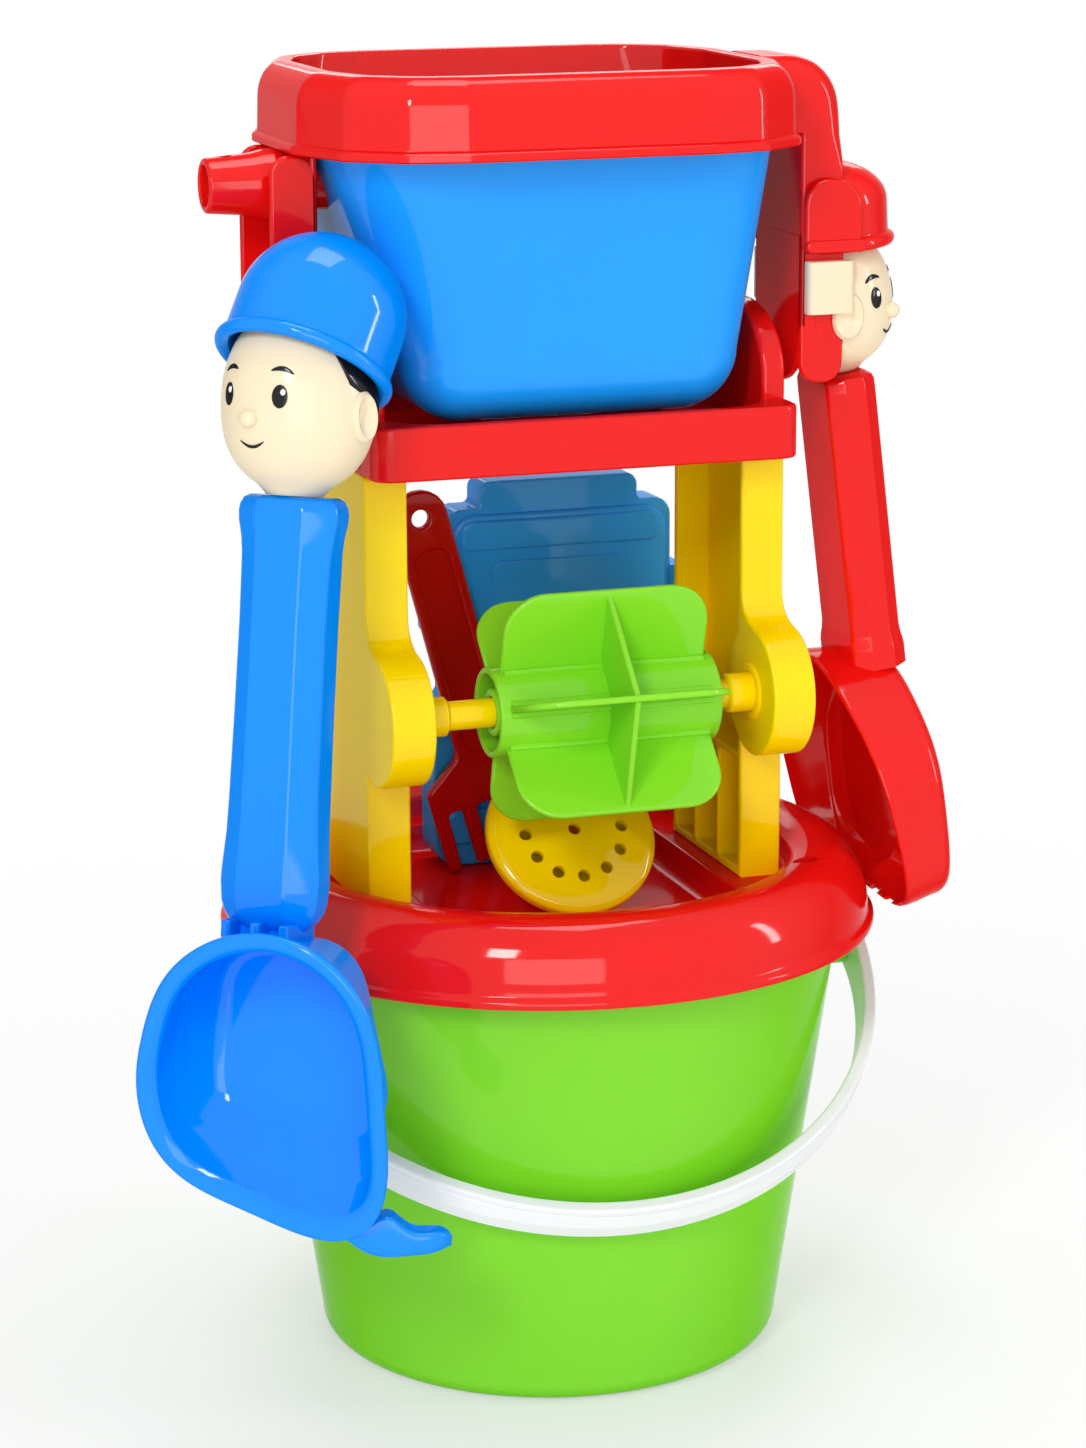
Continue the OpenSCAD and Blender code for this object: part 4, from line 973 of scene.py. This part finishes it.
def makeHead(name, radius, height, place, brim, slope, extra, faceTurn=0):
    # head with ears and nose, then the printed face and the hair under the cap
    f = named(faceForm)
    bm = bmesh.new()
    profile = [(0, 0)] + [(headRadius(height * t / 40, radius, height), height * t / 40) for t in range(0, 36)]
    profile += [(0, height * 0.9)]
    addLathe(bm, profile, place, 96)
    look = place @ turn("Z", faceTurn)
    addBall(bm, (headRadius(f.noseZ * height, radius, height) + 0.6, 0, f.noseZ * height), f.nose, look, 24)
    for side in (1, -1):
        ear = f.ear
        cup = [(0, 1.0), (ear * 0.45, 0.9), (ear * 0.68, 2.0), (ear * 0.86, 2.4), (ear, 1.2),
               (ear * 0.94, -1.5), (ear * 0.6, -5), (0, -5)]
        lobe = place @ shift(-2, side * (radius - 1.2), f.earZ * height)
        lobe = lobe @ turn("X", -90 * side) @ turn("Z", 12 * side)
        addLathe(bm, cup, lobe @ Matrix.Diagonal((0.8, 1.15, 1, 1)), 40)
    extra(bm)
    head = finishMesh(name + "_shape", bm, plastics["cream"], smooth=45)

    ink = bmesh.new()
    white = bmesh.new()
    for side in (1, -1):
        eyeAt = (side * f.eyeAngle, f.eyeZ * height)
        addFacePatch(ink, radius, height, eyeAt, f.eye, look, 0.3)
        addFacePatch(white, radius, height, (eyeAt[0] + 2.4, eyeAt[1] + 1.3), f.glint, look, 0.5, steps=20)
        addFacePatch(ink, radius, height, (side * (f.eyeAngle + 1), f.browZ * height), f.brow, look, 0.3,
                     side * -6, bend=f.browBend)
    addFacePatch(ink, radius, height, (0, f.mouthZ * height), f.mouth, look, 0.3, bend=f.mouthBend)
    # hair: a band round the back and sides whose lower edge dips behind the ears
    rows, tilt = [], tan(radians(slope)) * radius
    for k in range(7):
        row = []
        for i in range(61):
            angle = blendValue(f.hairFrom, 360 - f.hairFrom, i / 60)
            upper = brim / height + 0.06 + tilt * cos(radians(angle)) / height
            dip = f.hairDip * min(1, sin(pi * i / 60) * 5)
            z = height * (upper - k / 6 * dip)
            row.append(headPoint(angle, z, radius, height, 0.35 if 0 < i < 60 and k < 6 else -0.3))
        rows.append(row)
    grid = [[ink.verts.new(look @ p) for p in row] for row in rows]
    for a, b in zip(grid, grid[1:]):
        for i in range(60):
            ink.faces.new((a[i], a[i + 1], b[i + 1], b[i]))
    prints = finishMesh(name + "_print", ink, plastics["ink"], smooth=60)
    glints = finishMesh(name + "_glints", white, plastics["eyeWhite"], smooth=60)
    return head, prints, glints


def settleHead(pieces, body):
    settle(pieces[0], body, "cream", body + "_head")
    for piece in pieces[1:]:
        settle(piece, body, "cream")


def makeCap(name, radius, height, place, material, domeShare):
    # a dome with a rolled brim and a thin crease above it
    rise = domeShare * radius
    brim = arc((radius - 0.9, 2.1), (1.9, 2.1), -100, 70, 12)
    dome = [(radius - 0.9, 4.5), (radius - 1.0, 5.0)]
    dome += arc((0, height - rise), (radius - 1.0, rise), 0, 90, 22)
    inside = [(0, height - 2.4)]
    inside += arc((0, height - rise), (radius - 3.4, rise - 2.4), 84, 0, 12)
    inside += [(radius - 3.4, 1.2), (radius - 2, 0.1)]
    bm = bmesh.new()
    addLathe(bm, brim + dome + inside, place, 96, loop=True)
    return finishMesh(name, bm, material, smooth=40)


# Scoop: its own frame has +X to the front and +Z up the handle

scoopForm = {"outside": 11.9, "front": 49.9, "hang": 158.0, "turn": 230.0, "lean": 9.5, "gripTop": 61.0,
             "gripLength": 133.0, "gripWidth": 34.0, "gripDepth": 24.0, "headRadius": 23.5, "headTurn": -14.0,
             "headTall": 2.5, "brimAt": 0.63, "capOver": 3.5, "capHeight": 44.0, "capSlope": 26.0,
             "domeShare": 0.95}
clipForm = {"thick": 4.0, "jaw": 9.0, "gap": 0.35, "low": 12.2, "tall": 24.0}
bowlForm = {"width": 86.0, "height": 110.0, "depth": 46.0, "edgeDepth": 11.0, "back": -6.0, "side": 10.0,
            "topOver": 12.0, "wall": 2.6, "fillet": 3.6, "flare": 3.4, "roll": 1.8}
# circles round the bowl's mouth and back: sideways, up and radius, as shares of its width, height and width
mouthCircles = [(0.05, 0.69, 0.395), (-0.05, 0.65, 0.385), (-0.16, 0.47, 0.36), (0.1, 0.6, 0.35),
                (0.24, 0.2, 0.192), (-0.256, 0.364, 0.244)]
backCircles = [(-0.233, 0.49, 0.1), (0.19, 0.48, 0.14), (-0.163, 0.745, 0.17), (0.04, 0.74, 0.19)]
tongueForm = {"root": (2.0, 21.0), "tip": (-10.0, 50.0), "half": 6.5, "tall": 7.0, "hump": 6.0,
              "humpAt": 0.36, "low": 4.0, "rise": 3.5, "dish": 2.2}
armLow, armHigh = nodeBox("can_handle")
armLow.x = armForm["back"]
rimFoot = nodeBox("can_rim")[0].z
scoopFrame = shift(-armHigh.x - scoopForm["outside"], -armHigh.y - scoopForm["front"],
                   rimFoot - scoopForm["hang"])
scoopFrame = scoopFrame @ turn("Z", scoopForm["turn"]) @ turn("Y", -scoopForm["lean"])


def bowlOutline(shares, reach):
    wide, tall = bowlForm["width"], bowlForm["height"]
    return roundedOutline([(x * wide, y * tall, r * wide) for x, y, r in shares], 160, reach)


def addTongue(bm, base):
    # cupped lip that flows out of the bowl's lower corner
    t, side = named(tongueForm), bowlForm["side"]
    root, tip = Vector(t.root), Vector(t.tip)
    across = (tip - root).orthogonal().normalized()
    rings = []
    for k in range(25):
        share = k / 24
        middle = root.lerp(tip, share)
        end = max(0.0, (share - 0.72) / 0.28)
        half = t.half * sqrt(max(0.003, 1 - end * end))
        low = base + t.low + t.rise * share ** 2 + 5 * max(0, 1 - share / 0.4) ** 2
        swell = exp(-((share - t.humpAt) / 0.18) ** 2)
        tall = (t.tall + t.hump * swell) * (1 - 0.55 * end ** 3)
        low += tall * 0.28 * end ** 3
        ring = []
        for p in softOutline([(-half, 0, 2.6), (half, 0, 2.6), (half, tall, 1.6), (-half, tall, 1.6)], 5):
            u, v = p.x, p.y
            ring.append((middle.x + across.x * u, middle.y + side + across.y * u, low + v))
        for i in range(7):
            # the hollow between the two upper edges
            u = blendValue(half - 1.6, 1.6 - half, (i + 1) / 8) if half > 1.7 else 0.0
            dip = t.dish * sin(pi * (i + 1) / 8) * min(1, half / t.half) * (1 - end ** 2)
            ring.insert(18 + i, (middle.x + across.x * u, middle.y + side + across.y * u, low + tall - dip))
        rings.append(ring)
    addSolid(bm, rings)


def makeScoop():
    s, b = named(scoopForm), named(bowlForm)
    bm = bmesh.new()
    # handle with long facets, a round lower end and flared shoulders
    foot = s.gripTop - s.gripLength
    deep, wide = s.gripDepth / 2, s.gripWidth / 2
    facets = [(-deep, -wide + 7, 3), (-deep + 5, -wide, 4), (deep - 6, -wide, 4), (deep, -wide + 8.5, 2.5),
              (deep, wide - 8.5, 2.5), (deep - 6, wide, 4), (-deep + 5, wide, 4), (-deep, wide - 7, 3)]
    section = softOutline(facets, 5)
    levels = []
    for k in range(1, 9):
        bend = radians(11.25 * k)
        levels.append((deep * (1 - cos(bend)), sin(bend), (wide - deep + deep * sin(bend)) / wide))
    levels += [(16, 1.02, 1.02), (20, 1.01, 1.01), (25, 0.96, 0.96), (31, 0.91, 0.9), (40, 0.89, 0.87),
               (66, 0.88, 0.85), (95, 0.88, 0.84)]
    long = s.gripLength
    levels += [(long - 24, 0.88, 0.85), (long - 17, 0.9, 0.88), (long - 12, 0.95, 0.95), (long - 8, 0.99, 1.0),
               (long - 5, 1.0, 1.01), (long - 3, 0.98, 0.99), (long - 1, 0.9, 0.93), (long, 0.74, 0.82)]
    rings = []
    for z, kx, ky in levels:
        # the facets melt into an oval towards both ends
        oval = max(0.0, min(1.0, (34 - z) / 14), min(0.8, (z - long + 20) / 10))
        ring = []
        for p in section:
            angle = atan2(p.y / wide, p.x / deep)
            q = p.lerp(Vector((deep * cos(angle), wide * sin(angle))), oval)
            ring.append((q.x * kx, q.y * ky, foot + z))
        rings.append(ring)
    addSolid(bm, rings)
    # short neck with three ribs between handle and bowl
    bowlTop = foot + b.topOver
    for y in (-9.5, 0, 9.5):
        rib = rectOutline(b.back - 1, y - 1.6, b.back + 20, y + 1.6, 1.2, 4)
        addPlate(bm, rib, bowlTop - 12.5, foot + 5, 0.5)
    addPlate(bm, rectOutline(b.back, -11, b.back + 12, 11, 2, 4), bowlTop - 12.5, foot + 6, 0.4)
    # bowl, lofted from the inside of the back to the mouth's rim and round to the outside
    base = bowlTop - b.height
    slope = atan((b.depth - b.edgeDepth) / b.height)
    backPath, mouthPath = bowlOutline(backCircles, 2), bowlOutline(mouthCircles, 5)

    def ring(inset, t, past=0.0):
        # t runs from the back, 0, to the sloping mouth, 1
        points = []
        for p, q in zip(outset(backPath, -inset), outset(mouthPath, -inset)):
            back = Vector((b.back, b.side + p.x, base + p.y))
            mouth = Vector((b.back + b.edgeDepth + q.y * sin(slope), b.side + q.x, base + q.y * cos(slope)))
            points.append(back.lerp(mouth, t) + (mouth - back).normalized() * past)
        return points

    flare, fillet, roll = b.flare, b.fillet, b.roll
    wall = b.wall + flare
    rings = filletRings(ring, b.wall, fillet, quarter)
    rings += [ring(b.wall, 0.5), ring(b.wall + flare * 0.5, 0.75), ring(wall, 0.9)]
    # half-round bead along the mouth
    rings += [ring(wall / 2 * (1 + cos(2 * a)), 1, 1.6 * roll * (sin(2 * a) - 1)) for a in quarter]
    rings += [ring(0, 1, -2 * roll)]
    rings += [ring(flare * 0.5, 1, -2.6 * roll), ring(flare, 1, -3 * roll), ring(flare, 0.6)]
    rings += filletRings(ring, 0, fillet * 0.6, reversed(quarter))
    addSolid(bm, rings)
    addTongue(bm, base)
    settle(finishMesh("scoop_body", bm, plastics["blue"], scoopFrame, 36), "scoop", "blue", "scoop")


def makeScoopHead():
    s = named(scoopForm)
    radius, height = s.headRadius, s.headTall * s.headRadius
    brim = s.brimAt * height
    place = scoopFrame @ turn("Z", s.headTurn) @ shift(0, 0, s.gripTop + 0.2)
    clip = named(clipForm)

    def addClip(bm):
        # hook behind the head that holds the front cheek of the arm
        outer, cheek = -armHigh.x, -armHigh.y
        low = scoopFrame.translation.z + s.gripTop + clip.low
        x0, x1 = outer - clip.gap - clip.thick, outer - clip.gap + clip.jaw - clip.thick
        slot0, slot1 = cheek - clip.gap, cheek + armForm["wall"] + clip.gap
        start, stop = cheek - s.front + radius / 2, slot1 + clip.thick
        hook = [(x0, start), (x1, start), (x1, slot0), (outer - clip.gap, slot0), (outer - clip.gap, slot1),
                (x1, slot1), (x1, stop), (x0, stop)]
        addPlate(bm, softOutline([(x, y, 0.8) for x, y in hook], 3), low, low + clip.tall, 0.8)

    pieces = makeHead("scoop_head", radius, height, place, brim, s.capSlope, addClip)
    settleHead(pieces, "scoop")
    capPlace = place @ shift(0, 0, brim) @ turn("Y", -s.capSlope)
    cap = makeCap("scoop_cap_dome", radius + s.capOver, s.capHeight, capPlace, plastics["blue"], s.domeShare)
    settle(cap, "scoop", "blue", "scoop_cap")


makeScoop()
makeScoopHead()
print("scoop made")


# Shovel: its own frame has +X outwards and +Z up the handle

shovelForm = {"hang": 79.0, "grasp": 5.5, "gap": 0.35, "lean": 7.0, "gripLength": 92.0, "gripWidth": 32.0,
              "gripDepth": 18.0, "headRadius": 21.0, "headTall": 2.35, "brimAt": 0.84, "domeShare": 0.6,
              "capOver": 1.4, "capHeight": 28.0, "capSlope": -4.0, "graspLow": 22.0, "graspTall": 17.0,
              "faceTurn": -40.0, "flapWide": 20.0, "flapTall": 25.0}
spadeForm = {"width": 96.0, "height": 84.0, "depth": 28.0, "edgeDepth": 17.0, "wall": 2.6, "flare": 3.0,
             "out": 7.0, "fillet": 6.0, "teeth": 8, "toothLength": 2.0}
shovelFrame = shift(armHigh.x + shovelForm["gap"] + shovelForm["grasp"], 0, rimFoot - shovelForm["hang"])
shovelFrame = shovelFrame @ turn("Y", -shovelForm["lean"])


def makeShovel():
    s, b = named(shovelForm), named(spadeForm)
    bm = bmesh.new()
    half, deep = s.gripWidth / 2, s.gripDepth / 2
    # handle with long flats and a slightly flared foot
    corners = [(-deep, -half + 3, 1.5), (-deep + 5.5, -half, 1.5), (deep - 5.5, -half, 1.5),
               (deep, -half + 4.5, 2), (deep, half - 4.5, 2), (deep - 5.5, half, 1.5),
               (-deep + 5.5, half, 1.5), (-deep, half - 3, 1.5)]
    section = softOutline(corners, 4)
    long = s.gripLength
    levels = [(0, 0.8), (-0.8, 0.93), (-2.5, 0.99), (-6, 1.0), (6 - long, 1.0), (3 - long, 1.03),
              (1 - long, 1.07), (-1 - long, 1.09), (-7 - long, 1.09)]
    addSolid(bm, [[(p.x * k, p.y * k, z) for p in section] for z, k in levels])
    # blade: a shell with its open side towards the post
    base = -long - b.height
    circles = [(0, b.height - 38, 38)]
    for side in (1, -1):
        circles += [(side * (b.width / 2 - 26), b.height * 0.5, 26), (side * (b.width / 2 - 8), 8, 8)]
    edge = roundedOutline(circles, 144, 4)

    def ring(inset, depthShare, past=0.0):
        # depthShare runs from the blade's face, 0, to its open edge, 1
        points = []
        for p in edge:
            middle = Vector((0, min(max(p.y, 10), b.height - 40)))
            inward = (middle - p).normalized()
            q = p + inward * (inset + b.flare * (1 - depthShare))
            depth = blendValue(b.edgeDepth, b.depth, p.y / b.height)
            points.append(Vector((b.out - depth * depthShare - past, q.x, base + q.y)))
        return points

    wall, fillet = b.wall, b.fillet
    rings = filletRings(ring, wall, fillet, quarter)
    rings += [ring(wall, 0.7), ring(wall, 0.96), ring(wall - 0.6, 1, 0), ring(wall / 2, 1, 0.4),
              ring(0.5, 1, 0), ring(0, 0.96), ring(0, 0.7)]
    rings += filletRings(ring, 0, fillet, reversed(quarter))
    addSolid(bm, rings)
    shovel = finishMesh("shovel_body", bm, plastics["red"], shovelFrame, 36)
    pitch = b.width / b.teeth
    aim = shovelFrame.to_3x3() @ Vector((-1, 0, 0))
    cutters = []
    for i in range(1, b.teeth):
        start = shovelFrame @ Vector((b.out - b.edgeDepth + b.toothLength, (i - b.teeth / 2) * pitch, base))
        cutters.append(drill(pitch / 4, start, aim, b.depth, 20))
    cutOut(shovel, cutters, 36)
    settle(shovel, "shovel", "red", "shovel")


def clearSlot(piece, low, high):
    # drops the open print's faces that lie in the arm's slot
    bm = bmesh.new()
    bm.from_mesh(piece.data)
    inside = [face for face in bm.faces if all(low[k] <= face.calc_center_median()[k] / mm <= high[k]
                                               for k in range(3))]
    bmesh.ops.delete(bm, geom=inside, context="FACES")
    bm.to_mesh(piece.data)
    bm.free()


def makeShovelHead():
    s = named(shovelForm)
    radius, height = s.headRadius, s.headTall * s.headRadius
    brim = s.brimAt * height
    inner = armHigh.y + s.gap

    def addGrasp(bm):
        # two jaws that reach round the arm
        low = shovelFrame.translation.z + s.graspLow
        x0, x1, thick = armLow.x + 1, armHigh.x + 2, s.grasp - 1
        jaw = softOutline([(x0, 0, 0.6), (x1, 0, 0.6), (x1, thick, 3), (x0, thick, 3)], 6)
        for side in (1, -1):
            flip = Matrix(((1, 0, 0, 0), (0, side, 0, side * inner), (0, 0, 1, 0), (0, 0, 0, 1)))
            addPlate(bm, jaw, low, low + s.graspTall, 0.5, flip, steps=4)

    place = shovelFrame @ shift(0, 0, 0.2)
    pieces = makeHead("shovel_head", radius, height, place, brim, s.capSlope, addGrasp, s.faceTurn)
    slotLow = (armLow.x - 20, -inner, rimFoot - 160)
    slotHigh = (armHigh.x + s.gap, inner, rimFoot + 40)
    cutOut(pieces[0], [blockCutter(slotLow, slotHigh)], 45, True)
    clearSlot(pieces[1], slotLow, slotHigh)
    settleHead(pieces, "shovel")
    capPlace = shovelFrame @ shift(0, 0, brim) @ turn("Y", -s.capSlope)
    cap = makeCap("shovel_cap_dome", radius + s.capOver, s.capHeight, capPlace, plastics["red"], s.domeShare)
    cutOut(cap, [blockCutter(slotLow, slotHigh)], 40)
    settle(cap, "shovel", "red", "shovel_cap")
    bm = bmesh.new()
    # flaps of the cap that reach round the arm, with the brim's bead along their foot
    low, wide = shovelFrame.translation.z + brim + 0.4, s.flapWide
    x0, x1 = armLow.x, armLow.x + wide
    flap = softOutline([(x0, low, 1), (x1, low, 1), (x1, low + s.flapTall * 0.86, 9),
                        (x0, low + s.flapTall, 9)], 8)
    bead = rectOutline(x0, low - 0.3, x1 + 1, low + 4, 1.9, 6)
    for side in (1, -1):
        flip = facingY(side, side * inner)
        addPlate(bm, flap, 0, 3.4, 1.6, flip, steps=5)
        addPlate(bm, bead, 0, 4.6, 1.4, flip, steps=5)
    settle(finishMesh("shovel_cap_flaps", bm, plastics["red"]), "shovel", "red")


makeShovel()
makeShovelHead()
print("shovel made")


# Sand mould shaped like a truck's front, and the rake

truckForm = {"middle": 13.0, "cabShift": 7.0, "chassisShift": -6.0, "cabHalf": 40.0, "chassisHalf": 32.0,
             "roofHalf": 28.0, "sill": 52.0, "roofStep": 9.0, "wall": 2.0, "face": 3.0}


def makeTruck():
    f = named(truckForm)
    low, high = nodeBox("truck_mould")
    tall, deep = high.z - low.z, high.y - low.y
    # local z runs from the front, 0, to the open back
    place = facingY(1, low.y, f.middle, low.z)
    cab, sill, cabTop = f.cabShift, f.sill, tall - f.roofStep
    left, right = f.chassisShift - f.chassisHalf, f.chassisShift + f.chassisHalf
    cabLeft, cabRight = cab - f.cabHalf, cab + f.cabHalf
    roofLeft, roofRight = cab - f.roofHalf, cab + f.roofHalf
    body = softOutline([(left, 0, 9), (right, 0, 9), (right, sill, 2), (cabRight, sill, 9),
                        (cabRight, cabTop, 9), (roofRight, cabTop, 2), (roofRight, tall, 4),
                        (roofLeft, tall, 4), (roofLeft, cabTop, 2), (cabLeft, cabTop, 9),
                        (cabLeft, sill + 8, 2), (left, sill, 6)], 6)
    bm = bmesh.new()
    addPlate(bm, body, f.face, deep, 1.0, place, pockets=[(outset(body, -f.wall), f.face + f.wall)], steps=4)
    # bevelled cab front, windscreen, sun visor, wipers, grille bars, lamps, bumper and wing mirrors
    screenLow, screenHigh = sill + 26, cabTop - 17
    details = [
        (rectOutline(cabLeft + 2, sill + 2, cabRight - 2, cabTop - 2, 8), 1.6, 1.4),
        (rectOutline(cab - 35, cabTop - 14, cab + 35, cabTop - 4, 3), 0.2, 1.2),
        (rectOutline(cab - 24, screenLow + 4, cab + 25, screenHigh - 1, 3), 0.9, 0.7),
        (rectOutline(cab - 23, screenLow - 1, cab + 24, screenLow + 2, 1.2), 0.4, 0.8),
        (rectOutline(cab - 35, sill + 3, cab + 35, sill + 7, 1.6), 0.3, 1.0),
        (rectOutline(left + 4, 8, right - 4, 20, 4), 0.3, 1.4),
        (rectOutline(left + 8, 26, right - 8, 46, 4), 1.6, 1.0),
    ]
    details += [(rectOutline(cab - 20, sill + 10 + 4 * k, cab + 20, sill + 12.4 + 4 * k, 1), 0.5, 0.7)
                for k in range(3)]
    for outline, front, edge in details:
        addPlate(bm, outline, front, f.face + 1, edge, place, steps=4)
    for side in (1, -1):
        lamp = [(0, 1.2), (5.2, 1.0), (6.2, 0.4), (7.2, 0.6), (7.4, 4.0), (0, 4.0)]
        addLathe(bm, lamp, place @ shift(cab + side * 28, sill + 15, 0), 40)
        x0, x1 = sorted((cab + side * (f.cabHalf - 1), cab + side * (f.cabHalf + 6)))
        addPlate(bm, rectOutline(x0, tall * 0.68 - 10, x1, tall * 0.68 + 10, 2.4), 1, deep, 1.6, place)
    settle(finishMesh("truck_mould_front", bm, plastics["mouldBlue"]), "mould", "blue", "truck_mould")


rakeForm = {"lean": 15.0, "width": 46.0, "grip": 19.0, "bar": 9.0, "barAt": 20.0, "teeth": 5, "tooth": 5.0,
            "hole": 3.0}


def makeRake():
    f = named(rakeForm)
    low, high = nodeBox("rake")
    thick = high.y - low.y
    lean = radians(f.lean)
    lift = f.width / 2 * sin(lean)
    long = (high.z - low.z - lift - f.grip / 2) / cos(lean) + f.grip / 2
    place = shift(0, high.y, low.z + lift) @ turn("Y", -f.lean) @ turn("X", 90)
    half, grip = f.width / 2, f.grip / 2
    gap = (f.width - f.tooth) / (f.teeth - 1)
    corners = []
    for i in range(f.teeth):
        x = -half + i * gap
        if i:
            corners += [(x, f.barAt, 1.5)]
        corners += [(x + 0.4, 0, 1.2), (x + f.tooth - 0.4, 0, 1.2)]
        if i < f.teeth - 1:
            corners += [(x + f.tooth, f.barAt, 1.5)]
    shoulder = f.barAt + f.bar
    corners += [(half, shoulder, 3), (grip, shoulder + 9, 6), (grip, long, grip - 0.1),
                (-grip, long, grip - 0.1), (-grip, shoulder + 9, 6), (-half, shoulder, 3)]
    hole = path(arc((0, long - grip), f.hole, 0, 360, 24)[:-1])
    ridge = rectOutline(-grip + 3.5, f.barAt + 18, grip - 3.5, long - 2 * grip - 2, 4)
    bm = bmesh.new()
    addPlate(bm, softOutline(corners, 5), 0, thick, 1.0, place, holes=[hole], pockets=[(ridge, thick - 1.2)])
    # the rake takes the darker red, with the shade behind the left post painted into its colour
    settle(finishMesh("rake_blade", bm, plastics["shadedRed"]), "rake", "dark_red", "rake")


makeTruck()
makeRake()
print("mould and rake made")


# Stage: pale floor that stays white to the camera and keeps a soft shadow, world and soft lamps

stageForm = {"floorSize": 40.0, "floorZ": -0.05, "floorColour": (0.9, 0.9, 0.9, 1), "shadowFrom": 0.12,
             "shadowTo": 0.75, "shadowHold": 0.45, "ambient": 0.44}
lamps = {
    "keySoftbox": {"place": (-0.95, -1.35, 1.2), "aim": (0, 0, 0.2), "size": (0.3, 0.42), "power": 10.5},
    "fillSoftbox": {"place": (1.6, -0.7, 0.7), "aim": (0, 0, 0.2), "size": (0.12, 0.8), "power": 5.0},
    "frontSoftbox": {"place": (-0.55, -1.9, 0.45), "aim": (0, 0, 0.22), "size": (1.2, 1.2), "power": 13.5},
    "topSoftbox": {"place": (0.1, 0.1, 1.7), "aim": (0, 0, 0.2), "size": (0.7, 0.7), "power": 8.0},
    "backStrip": {"place": (0.5, 1.4, 1.0), "aim": (0, 0, 0.25), "size": (1.0, 0.4), "power": 7.0},
}


def cameraWhite(tree):
    # one where the eye, a mirror or glass looks straight at the stage
    rays = addNode(tree, "ShaderNodeLightPath").outputs
    seen = rays["Is Camera Ray"]
    for name in ("Is Glossy Ray", "Is Transmission Ray"):
        seen = addNode(tree, "ShaderNodeMath", {0: seen, 1: rays[name]}, operation="MAXIMUM").outputs[0]
    return seen


def makeFloor():
    f = named(stageForm)
    bm = bmesh.new()
    half = f.floorSize / 2 / mm
    corners = ((-1, -1), (1, -1), (1, 1), (-1, 1))
    bm.faces.new([bm.verts.new((x * half, y * half, f.floorZ)) for x, y in corners])
    material = bpy.data.materials.new("paleFloor")
    material.use_nodes = True
    tree = material.node_tree
    pale = {"Base Color": f.floorColour, "Roughness": 0.6, "Specular IOR Level": 0.1}
    pale = feed(tree.nodes["Principled BSDF"], pale)
    white = addNode(tree, "ShaderNodeEmission")
    where = addNode(tree, "ShaderNodeNewGeometry").outputs["Position"]
    far = addNode(tree, "ShaderNodeVectorMath", {0: where}, operation="LENGTH")
    fade = {"Value": far.outputs["Value"], "From Min": f.shadowFrom, "From Max": f.shadowTo,
            "To Min": f.shadowHold, "To Max": 1}
    fade = addNode(tree, "ShaderNodeMapRange", fade, interpolation_type="SMOOTHSTEP")
    share = {0: fade.outputs["Result"], 1: cameraWhite(tree)}
    share = addNode(tree, "ShaderNodeMath", share, operation="MULTIPLY")
    mix = {"Fac": share.outputs[0], 1: pale.outputs["BSDF"], 2: white.outputs["Emission"]}
    mix = addNode(tree, "ShaderNodeMixShader", mix)
    feed(tree.nodes["Material Output"], {"Surface": mix.outputs["Shader"]})
    finishMesh("floor", bm, material)


def makeWorld():
    world = bpy.data.worlds.new("studio")
    scene.world = world
    world.use_nodes = True
    tree, white = world.node_tree, (1, 1, 1, 1)
    dim = feed(tree.nodes["Background"], {"Color": white, "Strength": stageForm["ambient"]})
    bright = addNode(tree, "ShaderNodeBackground", {"Color": white})
    mix = {"Fac": cameraWhite(tree), 1: dim.outputs["Background"], 2: bright.outputs["Background"]}
    mix = addNode(tree, "ShaderNodeMixShader", mix)
    feed(tree.nodes["World Output"], {"Surface": mix.outputs["Shader"]})


def makeLamps():
    for name, lamp in lamps.items():
        light = bpy.data.lights.new(name, "AREA")
        light.shape = "RECTANGLE"
        light.size, light.size_y = lamp["size"]
        light.energy = lamp["power"]
        holder = bpy.data.objects.new(name, light)
        holder.location = lamp["place"]
        toAim = Vector(lamp["aim"]) - Vector(lamp["place"])
        holder.rotation_euler = toAim.to_track_quat("-Z", "Y").to_euler()
        scene.collection.objects.link(holder)


makeFloor()
makeWorld()
makeLamps()
scene.view_settings.view_transform = "Standard"
print("stage and lamps made")
